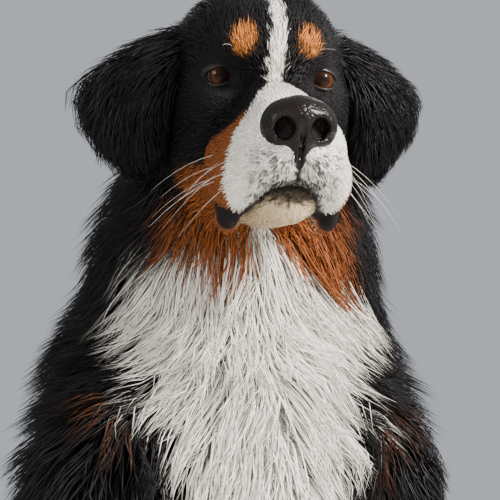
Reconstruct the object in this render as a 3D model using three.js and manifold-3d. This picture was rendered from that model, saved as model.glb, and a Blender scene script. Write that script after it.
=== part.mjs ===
// A sitting bernese mountain dog at life size, in millimetres: +Z up, the dog looks along -Y, its left is +X.
// Each part of the body is one closed solid. A part is drawn from rounded masses blended together: rays leave a
// line along its middle and stop at the surface. Long coat is made of flat, tapered locks that follow its lie.
import * as THREE from "three";
import { mergeVertices } from "three/addons/utils/BufferGeometryUtils.js";
import Module from "manifold-3d";

const wasm = await Module();
wasm.setup();

// Driving sizes
const GAP = 0.3; // between parts that touch
const EYE_HEIGHT = 800; // eyes above the floor
const EYE_FORWARD = 190; // eyes in front of the shoulders' plane
const HEAD_PITCH = THREE.MathUtils.degToRad(14); // muzzle lowered
const FACE_FUR = 3;
const NECK_CORE = 23; // depth of the coat's dense core over the skin
const TORSO_CORE = 16;
const ARM_CORE = 12;
const THIGH_CORE = 15;
const TAIL_CORE = 16;
const FOREARM_CORE = 6;
const FOOT_FUR = 4;
const EYE_RADIUS = 12;
const FLOOR_CLEAR = 1.5; // under locks that lie on the floor

// Short forms
const at = (x, y, z) => new THREE.Vector3(x, y, z);
const SIDES = [
  { name: "left", sign: 1 },
  { name: "right", sign: -1 },
];

// The head's own directions: forward along the muzzle, left, up. The origin is midway between the eyes.
const headFrame = new THREE.Matrix4()
  .makeTranslation(0, -EYE_FORWARD, EYE_HEIGHT)
  .multiply(new THREE.Matrix4().makeRotationX(HEAD_PITCH));
const inHead = (forward, left, up) => at(left, -forward, up).applyMatrix4(headFrame);

// A mass is an ellipsoid or a bone with round ends, with the distance from any point to its surface.
function ellipsoid(center, radii, turn = new THREE.Euler()) {
  const back = new THREE.Matrix4()
    .compose(center, new THREE.Quaternion().setFromEuler(turn), at(1, 1, 1))
    .invert();
  const p = at(0, 0, 0);
  return (point) => {
    p.copy(point).applyMatrix4(back);
    const near = Math.hypot(p.x / radii.x, p.y / radii.y, p.z / radii.z);
    const slope = Math.hypot(p.x / radii.x ** 2, p.y / radii.y ** 2, p.z / radii.z ** 2);
    return near < 1e-6 ? -Math.min(radii.x, radii.y, radii.z) : (near * (near - 1)) / slope;
  };
}

function bone(start, end, startRadius, endRadius) {
  const along = end.clone().sub(start);
  const p = at(0, 0, 0);
  return (point) => {
    p.copy(point).sub(start);
    const share = THREE.MathUtils.clamp(p.dot(along) / along.lengthSq(), 0, 1);
    const radius = THREE.MathUtils.lerp(startRadius, endRadius, share);
    return p.addScaledVector(along, -share).length() - radius;
  };
}

// Masses flow into each other over the blend distance. A hollow is taken away the same way.
function blended(masses, blend, hollows = [], hollowBlend = 6) {
  const soft = (a, b, k) => {
    const h = Math.max(k - Math.abs(a - b), 0) / k;
    return Math.min(a, b) - (h * h * k) / 4;
  };
  return (point) => {
    let distance = Infinity;
    for (const mass of masses) {
      const d = mass(point);
      distance = distance === Infinity ? d : soft(distance, d, blend);
    }
    for (const hollow of hollows) distance = -soft(-distance, hollow(point), hollowBlend);
    return distance;
  };
}
const grownBy = (field, depth) => (point) => field(point) - depth;
const bothSides = (make) => SIDES.flatMap((side) => make(side.sign));

// Masses of the body, as bare skin
const headMasses = [
  ellipsoid(inHead(-58, 0, 9), at(61, 74, 61)), // cranium
  ellipsoid(inHead(-16, 0, 20), at(43, 44, 36)), // forehead
  ...bothSides((s) => [
    ellipsoid(inHead(-34, 37 * s, -22), at(28, 48, 40)), // cheek bone
    ellipsoid(inHead(-48, 36 * s, -54), at(30, 46, 38)), // jaw muscle
    ellipsoid(inHead(4, 25 * s, 22), at(17, 17, 12)), // brow
    bone(inHead(92, 15 * s, -52), inHead(30, 20 * s, -62), 21, 27), // side of the muzzle
    ellipsoid(inHead(100, 14 * s, -64), at(16, 19, 19)), // front of the upper lip
    ellipsoid(inHead(52, 31 * s, -84), at(12, 38, 30)), // hanging lip
  ]),
  bone(inHead(10, 0, -32), inHead(96, 0, -38), 30, 27), // bridge
];
const headHollows = bothSides((s) => [
  ellipsoid(inHead(16, 42 * s, -1), at(15, 12, 11)), // eye socket
]);
const jawMasses = [
  bone(inHead(84, 0, -82), inHead(0, 0, -80), 18, 30), // chin and floor of the mouth
  ...bothSides((s) => [bone(inHead(70, 14 * s, -78), inHead(-30, 26 * s, -80), 15, 24)]),
];
const neckMasses = [
  bone(inHead(-72, 0, -34), at(0, -50, 690), 56, 82), // nape and throat
  bone(at(0, -50, 690), at(0, -8, 590), 82, 108), // root of the neck
];
const torsoMasses = [
  bone(at(0, -38, 545), at(0, 40, 462), 100, 124), // front of the rib cage
  bone(at(0, 40, 462), at(0, 120, 376), 124, 128), // rib cage
  bone(at(0, 120, 376), at(0, 190, 285), 128, 118), // flank
  bone(at(0, 190, 285), at(0, 255, 195), 118, 122), // loin
  bone(at(0, 255, 195), at(0, 300, 122), 122, 108), // rump
  ellipsoid(at(0, -84, 500), at(72, 68, 78)), // point of the chest
  ellipsoid(at(0, 2, 420), at(84, 96, 92)), // brisket
  ellipsoid(at(0, 42, 586), at(58, 74, 68)), // withers
];
const armMasses = (s) => [
  bone(at(40 * s, 38, 612), at(84 * s, -72, 500), 40, 56), // shoulder blade
  bone(at(84 * s, -72, 500), at(98 * s, 18, 345), 56, 46), // upper arm
  ellipsoid(at(98 * s, -6, 442), at(50, 84, 98)), // muscle behind the arm
];
const forearmMasses = (s) => [
  bone(at(98 * s, 18, 335), at(94 * s, -22, 190), 46, 32),
  bone(at(94 * s, -22, 190), at(93 * s, -34, 118), 32, 30), // wrist
];
const FORE_TOE = 17; // radius of a toe
const HIND_TOE = 16;
const foreToes = (s) => at(96 * s, -118, 22);
const hindToes = (s) => at(134 * s, 88, 21);
const forefootMasses = (s) => [
  bone(at(93 * s, -34, 118), at(95 * s, -62, 52), 30, 30), // pastern
  ellipsoid(at(96 * s, -84, 30), at(40, 54, 32)), // foot
  ...toes(foreToes(s), FORE_TOE),
];
const thighMasses = (s) => [
  ellipsoid(at(112 * s, 218, 160), at(64, 142, 130), new THREE.Euler(-0.15, 0, 0)), // thigh
  bone(at(118 * s, 180, 190), at(132 * s, 104, 208), 80, 54), // knee
  bone(at(132 * s, 110, 196), at(128 * s, 286, 62), 50, 30), // shank
];
const hindFootMasses = (s) => [
  bone(at(127 * s, 316, 36), at(130 * s, 190, 30), 26, 27), // heel and instep
  ellipsoid(at(134 * s, 122, 28), at(38, 54, 30)), // foot
  ...toes(hindToes(s), HIND_TOE),
];
const TAIL_ROUTE = [
  at(0, 385, 118),
  at(6, 442, 66),
  at(40, 505, 42),
  at(105, 552, 38),
  at(180, 560, 32),
  at(238, 540, 26),
];
const TAIL_RADII = [36, 32, 27, 23, 18, 11];
const tailMasses = TAIL_ROUTE.slice(1).map((end, i) => bone(TAIL_ROUTE[i], end, TAIL_RADII[i], TAIL_RADII[i + 1]));

// Tips of four toes side by side, the middle two in front
function toeTips(middle, radius) {
  return [-1.5, -0.5, 0.5, 1.5].map((place) => {
    const back = Math.abs(place) > 1 ? radius * 0.75 : 0;
    return at(middle.x + place * radius * 1.25, middle.y + back, middle.z);
  });
}

function toes(middle, radius) {
  const knuckle = at(0, radius, radius * 0.5);
  return toeTips(middle, radius).map((tip) => bone(tip.clone().add(knuckle), tip, radius, radius * 0.9));
}

const BODY_BLEND = 40;
const LIMB_BLEND = 26;
const SKULL_BACK = inHead(-70, 0, 20); // the ruff deepens away from here
const neckSkin = blended(neckMasses, BODY_BLEND);
const flesh = {
  head: grownBy(blended(headMasses, 14, headHollows), FACE_FUR),
  jaw: grownBy(blended(jawMasses, 10), FACE_FUR),
  neck: (p) => neckSkin(p) - NECK_CORE * THREE.MathUtils.smoothstep(p.distanceTo(SKULL_BACK), 20, 150),
  torso: grownBy(blended(torsoMasses, BODY_BLEND), TORSO_CORE),
  tail: grownBy(blended(tailMasses, 12), TAIL_CORE),
};
for (const { name, sign } of SIDES) {
  flesh["arm_" + name] = grownBy(blended(armMasses(sign), LIMB_BLEND), ARM_CORE);
  flesh["forearm_" + name] = grownBy(blended(forearmMasses(sign), LIMB_BLEND), FOREARM_CORE);
  flesh["forefoot_" + name] = grownBy(blended(forefootMasses(sign), 9), FOOT_FUR);
  flesh["thigh_" + name] = grownBy(blended(thighMasses(sign), LIMB_BLEND), THIGH_CORE);
  flesh["hind_foot_" + name] = grownBy(blended(hindFootMasses(sign), 9), FOOT_FUR);
}
const wholeBody = blended(Object.values(flesh), 10);

// The surface's outward direction at a point
function outward(field, point, step = 1.5) {
  const probe = (dx, dy, dz) => field(at(point.x + dx, point.y + dy, point.z + dz));
  return at(
    probe(step, 0, 0) - probe(-step, 0, 0),
    probe(0, step, 0) - probe(0, -step, 0),
    probe(0, 0, step) - probe(0, 0, -step),
  ).normalize();
}

// Distance from a middle point to the surface along a ray
function reach(field, middle, direction, farthest = 260) {
  let inside = 0;
  let outside = 0;
  const p = at(0, 0, 0);
  while (outside < farthest) {
    const d = field(p.copy(middle).addScaledVector(direction, outside));
    if (d > 0) break;
    inside = outside;
    outside += Math.max(1.5, -d * 0.6);
  }
  for (let i = 0; i < 18; i++) {
    const mid = (inside + outside) / 2;
    if (field(p.copy(middle).addScaledVector(direction, mid)) > 0) outside = mid;
    else inside = mid;
  }
  return inside;
}

// A sleeve is drawn round a middle line. A flat end stays in the plane across the line, a round end closes over it.
class Sleeve {
  constructor(field, route, { rings = 8, sides = 20, start = "round", end = "round", domes = 4, span = [0, 1] }) {
    Object.assign(this, { field, rings, sides, start, end, domes, span });
    this.curve = new THREE.CatmullRomCurve3(route, false, "centripetal");
  }

  // Middle, forward and two across directions at a share of the sleeve's span of the line
  frame(share) {
    const place = THREE.MathUtils.lerp(this.span[0], this.span[1], share);
    const middle = this.curve.getPointAt(place);
    const forward = this.curve.getTangentAt(place);
    const across = at(1, 0, 0).addScaledVector(forward, -forward.x);
    if (across.lengthSq() < 0.1) across.set(0, 1, 0).addScaledVector(forward, -forward.y);
    across.normalize();
    return { middle, forward, across, over: forward.clone().cross(across) };
  }

  // A direction from the middle: angle round the line, lean towards its forward direction
  ray({ forward, across, over }, angle, lean = 0) {
    return across
      .clone()
      .multiplyScalar(Math.cos(angle) * Math.cos(lean))
      .addScaledVector(over, Math.sin(angle) * Math.cos(lean))
      .addScaledVector(forward, Math.sin(lean));
  }

  spot(share, angle, lean = 0) {
    const frame = this.frame(share);
    const direction = this.ray(frame, angle, lean);
    return frame.middle.clone().addScaledVector(direction, reach(this.field, frame.middle, direction));
  }

  // The closed mesh, grown by a margin where a neighbour is to be cut by it
  geometry(margin = 0) {
    const field = grownBy(this.field, margin);
    const loops = [];
    const addLoop = (share, lean, shift = 0) => {
      const frame = this.frame(share);
      const loop = [];
      for (let j = 0; j < this.sides; j++) {
        const direction = this.ray(frame, (2 * Math.PI * j) / this.sides, lean);
        const distance = reach(field, frame.middle, direction);
        loop.push(frame.middle.clone().addScaledVector(direction, distance).addScaledVector(frame.forward, shift));
      }
      loops.push(loop);
    };
    const pole = (share, side) => {
      const frame = this.frame(share);
      const direction = frame.forward.clone().multiplyScalar(side);
      return frame.middle.clone().addScaledVector(direction, reach(field, frame.middle, direction));
    };
    const roundStart = this.start === "round";
    const roundEnd = this.end === "round";
    const first = roundStart ? pole(0, -1) : this.frame(0).middle.addScaledVector(this.frame(0).forward, -margin);
    const last = roundEnd ? pole(1, 1) : this.frame(1).middle.addScaledVector(this.frame(1).forward, margin);
    if (roundStart)
      for (let i = 1; i < this.domes; i++) addLoop(0, (-Math.PI / 2) * (1 - i / this.domes));
    for (let i = 0; i <= this.rings; i++) {
      const shift = i === 0 && !roundStart ? -margin : i === this.rings && !roundEnd ? margin : 0;
      addLoop(i / this.rings, 0, shift);
    }
    if (roundEnd) for (let i = 1; i < this.domes; i++) addLoop(1, (Math.PI / 2) * (i / this.domes));
    return closedMesh(loops, first, last);
  }
}

// Loops of points, one after the other, closed by a point at each end
function closedMesh(loops, first, last) {
  const count = loops[0].length;
  const points = [first, ...loops.flat(), last];
  const faces = [];
  for (let j = 0; j < count; j++) {
    const next = (j + 1) % count;
    faces.push(0, 1 + next, 1 + j);
    for (let i = 0; i + 1 < loops.length; i++) {
      const low = 1 + i * count;
      const high = low + count;
      faces.push(low + j, low + next, high + next, low + j, high + next, high + j);
    }
    const final = 1 + (loops.length - 1) * count;
    faces.push(final + j, final + next, points.length - 1);
  }
  const geometry = new THREE.BufferGeometry().setFromPoints(points);
  geometry.setIndex(faces);
  return geometry;
}

function solid(geometry) {
  const bare = new THREE.BufferGeometry().setAttribute("position", geometry.getAttribute("position"));
  bare.setIndex(geometry.index);
  const merged = mergeVertices(bare, 1e-3);
  const triVerts = new Uint32Array(merged.index.array);
  const made = new wasm.Manifold(
    new wasm.Mesh({ numProp: 3, vertProperties: merged.attributes.position.array, triVerts }),
  );
  if (made.volume() > 0) return made;
  for (let i = 0; i < triVerts.length; i += 3) [triVerts[i + 1], triVerts[i + 2]] = [triVerts[i + 2], triVerts[i + 1]];
  return new wasm.Manifold(
    new wasm.Mesh({ numProp: 3, vertProperties: merged.attributes.position.array, triVerts }),
  );
}

function geometryOf(made) {
  const mesh = made.getMesh();
  const geometry = new THREE.BufferGeometry();
  geometry.setAttribute("position", new THREE.BufferAttribute(new Float32Array(mesh.vertProperties), 3));
  geometry.setIndex(new THREE.BufferAttribute(new Uint32Array(mesh.triVerts), 1));
  geometry.computeVertexNormals();
  return geometry;
}

// The largest closed body of a cut, with its nearest points joined and without loose scraps
function largest(made) {
  const bodies = solid(geometryOf(made)).decompose();
  return bodies.reduce((best, body) => (body.volume() > best.volume() ? body : best));
}

// Shares of a lock's length where it is drawn, with its width, its thickness and how far its underside has risen
const LOCK_STEPS = [
  { share: 0, wide: 0.85, thick: 0.4, lift: 0 },
  { share: 0.4, wide: 1, thick: 1, lift: 0.15 },
  { share: 0.76, wide: 0.75, thick: 0.75, lift: 0.6 },
  { share: 1, wide: 0, thick: 0, lift: 1 },
];

// A flat, tapered lock, three corners round: a flat underside and a low ridge, along points with their facings
function blade(stations, { width, thick }, margin) {
  const tip = stations.at(-1);
  const loops = stations.slice(0, -1).map(({ point, facing, run }, i) => {
    const across = run.clone().cross(facing).normalize();
    const half = (width / 2) * LOCK_STEPS[i].wide + margin;
    const corner = (side) => point.clone().addScaledVector(across, side * half).addScaledVector(facing, -margin);
    return [corner(1), point.clone().addScaledVector(facing, thick * LOCK_STEPS[i].thick + margin), corner(-1)];
  });
  const foot = loops[0][0].clone().add(loops[0][2]).multiplyScalar(0.5);
  return closedMesh(loops, foot, tip.point.clone().addScaledVector(tip.run, margin));
}

// A lock rooted in the surface, that lies along it and rises to its tip
function coatLock({ root, lie, size }, margin) {
  const { length, rise, sink = 9, wave = 0, side = 1 } = size;
  const p = root.clone();
  let travelled = 0;
  const stations = LOCK_STEPS.map(({ share, lift }) => {
    const run = lie(p);
    const normal = outward(wholeBody, p);
    run.addScaledVector(normal, -run.dot(normal)).normalize();
    p.addScaledVector(run, (share - travelled) * length);
    travelled = share;
    const height = THREE.MathUtils.lerp(-sink, rise, lift);
    for (let i = 0; i < 3; i++) p.addScaledVector(outward(wholeBody, p), height - wholeBody(p));
    p.z = Math.max(p.z, FLOOR_CLEAR);
    const facing = outward(wholeBody, p);
    const sway = side * wave * Math.sin(share * 4.2);
    const point = p.clone().addScaledVector(run.clone().cross(facing).normalize(), sway);
    return { point, facing, run: run.clone() };
  });
  return blade(stations, size, margin);
}

// A lock that leaves an edge and bends down under its own weight
function fringeLock({ root, run, facing, size }, margin) {
  const p = root.clone().addScaledVector(run, -(size.sink ?? 9));
  const heading = run.clone();
  let travelled = 0;
  const stations = LOCK_STEPS.map(({ share }) => {
    const step = (share - travelled) * (size.length + (size.sink ?? 9));
    travelled = share;
    p.addScaledVector(heading, step);
    heading.addScaledVector(at(0, 0, -1), share * (size.droop ?? 0.5)).normalize();
    return { point: p.clone(), facing: facing.clone(), run: heading.clone() };
  });
  return blade(stations, size, margin);
}

// A seeded draw, so that the coat is the same each time
function seeded(seed) {
  let state = seed;
  return () => {
    state = (state * 1664525 + 1013904223) % 4294967296;
    return state / 4294967296;
  };
}

// Rows of locks round a sleeve, every other row shifted by half a place
function coat(sleeve, own, { rows, places, lie, size, arc = [0, 2 * Math.PI], seed = 1, keep = () => true }) {
  const random = seeded(seed);
  const made = [];
  rows.forEach((share, row) => {
    const closed = arc[1] - arc[0] > 6.2;
    const count = typeof places === "number" ? places : places[row];
    for (let i = 0; i < count; i++) {
      const place = (i + (row % 2 ? 0.5 : 0) + (random() - 0.5) * 0.3) / (closed ? count : count - 0.5);
      const angle = THREE.MathUtils.lerp(arc[0], arc[1], place);
      const lean = share < 0 ? share : share > 1 ? share - 1 : 0;
      const root = sleeve.spot(THREE.MathUtils.clamp(share, 0, 1), angle, lean);
      const draw = [random(), random(), random()];
      if (root.z < 16 || wholeBody(root) < own(root) - 6 || !keep(root)) continue;
      const vary = 0.85 + 0.3 * draw[0];
      const s = typeof size === "function" ? size(root) : size;
      made.push({
        root,
        lie,
        size: { ...s, length: s.length * vary, rise: s.rise * (0.8 + 0.4 * draw[1]), side: draw[2] < 0.5 ? -1 : 1 },
      });
    }
  });
  return made;
}

// The lie of the coat: downwards and back on the body, out to the sides on the front of the chest
const down = (x, y, z) => () => at(x, y, z);
const bibLie = (p) => at(p.x * 0.006, 0.25, -1);
const backLie = (p) => (p.y < 0 ? bibLie(p) : at(0, 0.72, -0.7));
const tailLie = (p) => {
  let best = 0;
  for (let i = 1; i < TAIL_ROUTE.length; i++)
    if (TAIL_ROUTE[i].distanceTo(p) < TAIL_ROUTE[best].distanceTo(p)) best = i;
  const ahead = TAIL_ROUTE[Math.min(best + 1, TAIL_ROUTE.length - 1)];
  const behind = TAIL_ROUTE[Math.max(best - 1, 0)];
  return ahead.clone().sub(behind).normalize();
};

// The ear: a leaf that leaves the skull, turns down, and is cupped on its inner side
const EAR_THICK = 9;
const EAR_CUP = 10;
const EAR_HALF_WIDTHS = [27, 35, 41, 32, 14];
const earLines = {};
for (const { name, sign: s } of SIDES)
  earLines[name] = {
    sign: s,
    middle: new THREE.CatmullRomCurve3([
      inHead(-58, 48 * s, 33),
      inHead(-57, 77 * s, 20),
      inHead(-52, 99 * s, -5),
      inHead(-48, 104 * s, -33),
      inHead(-44, 99 * s, -60),
    ]),
    rearEdge: inHead(-0.62, 0.78 * s, 0.05).sub(inHead(0, 0, 0)),
  };

// Centre, directions and half width of the ear at a share of its length
function earStation({ sign, middle, rearEdge }, share) {
  const run = middle.getTangent(share);
  const across = rearEdge.clone().addScaledVector(run, -rearEdge.dot(run)).normalize();
  const place = share * (EAR_HALF_WIDTHS.length - 1);
  const low = Math.min(Math.floor(place), EAR_HALF_WIDTHS.length - 2);
  const half = THREE.MathUtils.lerp(EAR_HALF_WIDTHS[low], EAR_HALF_WIDTHS[low + 1], place - low);
  return { center: middle.getPoint(share), run, across, face: across.clone().cross(run).multiplyScalar(sign), half };
}

// A point on the ear: wide runs from -1 at the front edge to 1 at the rear, deep from -1 inside to 1 outside
function earPoint({ center, across, face, half }, wide, deep, margin = 0) {
  const depth = deep * (EAR_THICK / 2 + margin) - EAR_CUP * wide * wide;
  return center.clone().addScaledVector(across, wide * (half + margin)).addScaledVector(face, depth);
}

function earLeaf(line, margin = 0) {
  const lengthSteps = 7;
  const corners = 8;
  const loops = [];
  for (let i = 0; i <= lengthSteps; i++) {
    const station = earStation(line, i / lengthSteps);
    loops.push(
      Array.from({ length: corners }, (_, j) => {
        const angle = (2 * Math.PI * j) / corners;
        return earPoint(station, Math.cos(angle), Math.sin(angle), margin);
      }),
    );
  }
  const end = (share, push) => line.middle.getPoint(share).addScaledVector(line.middle.getTangent(share), push);
  return closedMesh(loops, end(0, -2 - margin), end(1, 5 + margin));
}

// Long hair at the ear's rear edge and tip
function earFringe(line, seed) {
  const random = seeded(seed);
  const spots = [0.42, 0.66, 0.88].map((share) => [share, 1]);
  spots.push([1, 0.3], [1, -0.5]);
  return spots.map(([share, wide]) => {
    const station = earStation(line, share);
    const run = station.across.clone().multiplyScalar(wide * 0.8).addScaledVector(station.run, 0.25 + 0.9 * share);
    return {
      root: earPoint(station, wide * 0.8, 0),
      run: run.normalize(),
      facing: station.face,
      size: { length: 26 + 12 * random(), width: 26, thick: 4, droop: 0.35 },
    };
  });
}

// A smooth ball, for the eyes, their lids and the nostrils
const ball = (center, radii, turn = new THREE.Euler(), wide = 16, high = 12) => {
  const place = new THREE.Matrix4().compose(center, new THREE.Quaternion().setFromEuler(turn), radii);
  return new THREE.SphereGeometry(1, wide, high).applyMatrix4(place);
};

// Sleeves of the parts
const SPINE = [at(0, -36, 540), at(0, 40, 462), at(0, 128, 366), at(0, 190, 285), at(0, 292, 135)];
const LOINS = 0.46; // share of the spine where the chest ends
const sleeves = {
  head: new Sleeve(flesh.head, [inHead(-66, 0, -4), inHead(-10, 0, -16), inHead(40, 0, -40), inHead(92, 0, -46)], {
    rings: 14,
    sides: 24,
    domes: 4,
  }),
  jaw: new Sleeve(flesh.jaw, [inHead(-34, 0, -86), inHead(30, 0, -86), inHead(84, 0, -84)], { rings: 6, sides: 14 }),
  neck: new Sleeve(flesh.neck, [inHead(-84, 0, -16), at(0, -50, 690), at(0, -8, 590)], { rings: 5, sides: 16, end: "flat" }),
  chest: new Sleeve(flesh.torso, SPINE, { rings: 5, sides: 16, end: "flat", span: [0, LOINS] }),
  hindquarters: new Sleeve(flesh.torso, SPINE, { rings: 5, sides: 16, start: "flat", span: [LOINS, 1] }),
};
for (const { name, sign: s } of SIDES) {
  sleeves["upper_arm_" + name] = new Sleeve(
    flesh["arm_" + name],
    [at(52 * s, 34, 590), at(82 * s, -50, 500), at(98 * s, 4, 420), at(98 * s, 16, 350)],
    { rings: 6, sides: 12, domes: 3 },
  );
  sleeves["forearm_" + name] = new Sleeve(
    flesh["forearm_" + name],
    [at(98 * s, 18, 330), at(94 * s, -22, 190), at(93 * s, -33, 122)],
    { rings: 4, sides: 10, domes: 3, end: "flat" },
  );
  sleeves["forefoot_" + name] = new Sleeve(
    flesh["forefoot_" + name],
    [at(93 * s, -33, 122), at(94 * s, -52, 72), at(96 * s, -86, 36), at(96 * s, -112, 26)],
    { rings: 6, sides: 16, domes: 4, start: "flat" },
  );
  sleeves["thigh_" + name] = new Sleeve(
    flesh["thigh_" + name],
    [at(118 * s, 290, 140), at(120 * s, 200, 160), at(132 * s, 116, 196)],
    { rings: 5, sides: 16, domes: 4 },
  );
  sleeves["hind_foot_" + name] = new Sleeve(
    flesh["hind_foot_" + name],
    [at(127 * s, 312, 34), at(131 * s, 190, 30), at(134 * s, 96, 26)],
    { rings: 6, sides: 12, domes: 3 },
  );
}
const TAIL_PARTS = [
  { name: "tail_root", span: [0, 0.4], start: "round", end: "flat" },
  { name: "tail_tip", span: [0.4, 1], start: "flat", end: "round" },
];
for (const { name, span, start, end } of TAIL_PARTS)
  sleeves[name] = new Sleeve(flesh.tail, TAIL_ROUTE, { rings: 4, sides: 10, domes: 3, start, end, span });

// Nose leather with its wings and the groove under it
const noseMasses = [
  ellipsoid(inHead(112, 0, -27), at(20, 19, 17)),
  ...bothSides((sign) => [ellipsoid(inHead(112, 13 * sign, -31), at(13, 16, 17))]),
  bone(inHead(122, 0, -42), inHead(117, 0, -62), 6, 4),
];
sleeves.nose = new Sleeve(blended(noseMasses, 6), [inHead(106, 0, -30), inHead(114, 0, -31)], {
  rings: 1,
  sides: 14,
  domes: 4,
});

// Places where locks grow, part by part
const rows = (from, to, count) => Array.from({ length: count }, (_, i) => from + ((to - from) * i) / (count - 1));
const clearOfHead = (p) => flesh.head(p) > 5 && flesh.jaw(p) > 5;
const locks = {
  neck: coat(sleeves.neck, flesh.neck, {
    rows: rows(0.12, 0.92, 3),
    places: [8, 9, 10],
    lie: (p) => at(p.x * 0.002, 0.3, -1),
    size: { length: 112, width: 66, thick: 18, rise: 25, wave: 4 },
    seed: 13,
    keep: clearOfHead,
  }),
  chest: coat(sleeves.chest, flesh.torso, {
    rows: [-0.6, ...rows(0.1, 0.86, 3)],
    places: [6, 9, 10, 10],
    lie: backLie,
    size: { length: 106, width: 72, thick: 16, rise: 22, wave: 5 },
    seed: 23,
    keep: (p) => flesh.neck(p) > 2,
  }),
  hindquarters: coat(sleeves.hindquarters, flesh.torso, {
    rows: [...rows(0.2, 0.9, 3), 1.6],
    places: [9, 8, 8, 4],
    lie: down(0, 0.62, -0.8),
    size: { length: 106, width: 72, thick: 16, rise: 20, wave: 5 },
    seed: 37,
  }),
};
for (const { name, sign } of SIDES) {
  locks["upper_arm_" + name] = coat(sleeves["upper_arm_" + name], flesh["arm_" + name], {
    rows: rows(0.14, 0.8, 3),
    places: 6,
    lie: down(0, 0.3, -1),
    size: { length: 94, width: 58, thick: 12, rise: 14, wave: 4 },
    seed: 41 + sign,
  });
  locks["forearm_" + name] = coat(sleeves["forearm_" + name], flesh["forearm_" + name], {
    rows: rows(0.16, 0.6, 2),
    places: 3,
    lie: down(0, 0.55, -1),
    size: { length: 88, width: 38, thick: 10, rise: 28, wave: 3 },
    seed: 53 + sign,
    arc: [1.25 * Math.PI, 1.75 * Math.PI],
  });
  locks["thigh_" + name] = coat(sleeves["thigh_" + name], flesh["thigh_" + name], {
    rows: [-0.6, ...rows(0.2, 0.9, 2)],
    places: [5, 6, 6],
    lie: down(0, 0.62, -0.8),
    size: { length: 104, width: 66, thick: 13, rise: 16, wave: 4 },
    seed: 67 + sign,
  });
}
TAIL_PARTS.forEach(({ name }, i) => {
  locks[name] = coat(sleeves[name], flesh.tail, {
    rows: i === 0 ? [0.5] : rows(0.15, 0.85, 2),
    places: 5,
    lie: tailLie,
    size: { length: 96, width: 46, thick: 14, rise: 24, wave: 4 },
    seed: 83 + i,
  });
});
const fringes = {};
for (const { name, sign } of SIDES) fringes["ear_" + name] = earFringe(earLines[name], 97 + sign);

// Claws, one for each toe, that curve down to the floor
const CLAW_LENGTH = 15;
const CLAW_RADII = [4.6, 3.4];
function claws(middle, radius) {
  return toeTips(middle, radius).map((tip) => {
    const drawn = (share) =>
      at(tip.x, tip.y - radius * 0.7 - CLAW_LENGTH * share, tip.z - 1 - CLAW_LENGTH * 0.7 * share * share);
    const loops = CLAW_RADII.map((r, i) => {
      const point = drawn(i / 2);
      return [0, 1, 2, 3].map((j) => at(0, 0, r).applyAxisAngle(at(0, 1, 0), (j * Math.PI) / 2).add(point));
    });
    return closedMesh(loops, drawn(0), drawn(1));
  });
}
const feetClaws = {};
for (const { name, sign } of SIDES) {
  feetClaws["forefoot_" + name] = claws(foreToes(sign), FORE_TOE);
  feetClaws["hind_foot_" + name] = claws(hindToes(sign), HIND_TOE);
}

// Eyes with lids that leave an almond opening
const eyeCenter = (s) => inHead(-3, 38 * s, 0);
const eyeBall = (s, margin = 0) => {
  const r = EYE_RADIUS + margin;
  return ball(eyeCenter(s), at(r, r, r), new THREE.Euler(), 12, 8);
};
function lids(s) {
  const r = EYE_RADIUS + 2.6;
  const rim = solid(ball(eyeCenter(s), at(r, r, r), new THREE.Euler(0.3, 0, 0), 14, 10));
  const slant = new THREE.Euler(0, -0.12 * s, 0);
  const opening = solid(ball(eyeCenter(s).add(at(2 * s, -12, 0)), at(11.5, 12, 8), slant, 12, 6));
  return rim.subtract(opening);
}
function nostril(s) {
  const hollow = ball(inHead(131, 12 * s, -31), at(6, 13, 6.5), new THREE.Euler(0, 0, 0.5 * s), 7, 5);
  const slit = ball(inHead(124, 21 * s, -36), at(8, 9, 2.6), new THREE.Euler(0, 0.35 * s, 0.9 * s), 8, 4);
  return solid(hollow).add(solid(slit));
}

// The solids: every part as drawn, then cut by the parts that it grows from
const floorSide = solid(new THREE.BoxGeometry(3000, 3000, 1000).translate(0, 0, 500));
const blank = (name, margin) => {
  const pieces = [];
  if (sleeves[name]) pieces.push(solid(sleeves[name].geometry(margin)));
  if (name.startsWith("ear_")) pieces.push(solid(earLeaf(earLines[name.slice(4)], margin)));
  if (name.startsWith("eye_")) pieces.push(solid(eyeBall(name === "eye_left" ? 1 : -1, margin)));
  pieces.push(...(locks[name] ?? []).map((place) => solid(coatLock(place, margin))));
  pieces.push(...(fringes[name] ?? []).map((place) => solid(fringeLock(place, margin))));
  pieces.push(...(feetClaws[name] ?? []).map((piece) => solid(piece)));
  return wasm.Manifold.union(pieces);
};

// In the order in which they keep their shape: a later part gives way to the earlier ones
const ORDER = ["eye_left", "eye_right", "nose", "jaw", "head", "ear_left", "ear_right", "neck", "chest", "hindquarters"];
for (const part of ["upper_arm", "forearm", "forefoot", "thigh", "hind_foot"])
  for (const { name } of SIDES) ORDER.push(part + "_" + name);
ORDER.push(...TAIL_PARTS.map(({ name }) => name));

const made = {};
for (const name of ORDER) {
  let body = blank(name, 0);
  if (name === "head") for (const { sign } of SIDES) body = body.add(lids(sign));
  if (name === "nose") for (const { sign } of SIDES) body = body.subtract(nostril(sign));
  for (const earlier of Object.values(made)) {
    if (body.intersect(earlier.grown).volume() > 0) body = body.subtract(earlier.grown);
    if (body.intersect(earlier.body).volume() > 0) body = body.subtract(earlier.body);
  }
  body = largest(body.intersect(floorSide));
  made[name] = { body, grown: blank(name, GAP) };
}

const COLORS = { coat: 0x17161a, rust: 0x8a4418, white: 0xe6e2dc, leather: 0x15110f, amber: 0x4a2410 };
const colorOf = (name) => {
  if (name.startsWith("eye_")) return COLORS.amber;
  if (name === "nose") return COLORS.leather;
  if (name.includes("foot") || name === "jaw") return COLORS.white;
  return name.startsWith("forearm") ? COLORS.rust : COLORS.coat;
};

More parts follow.
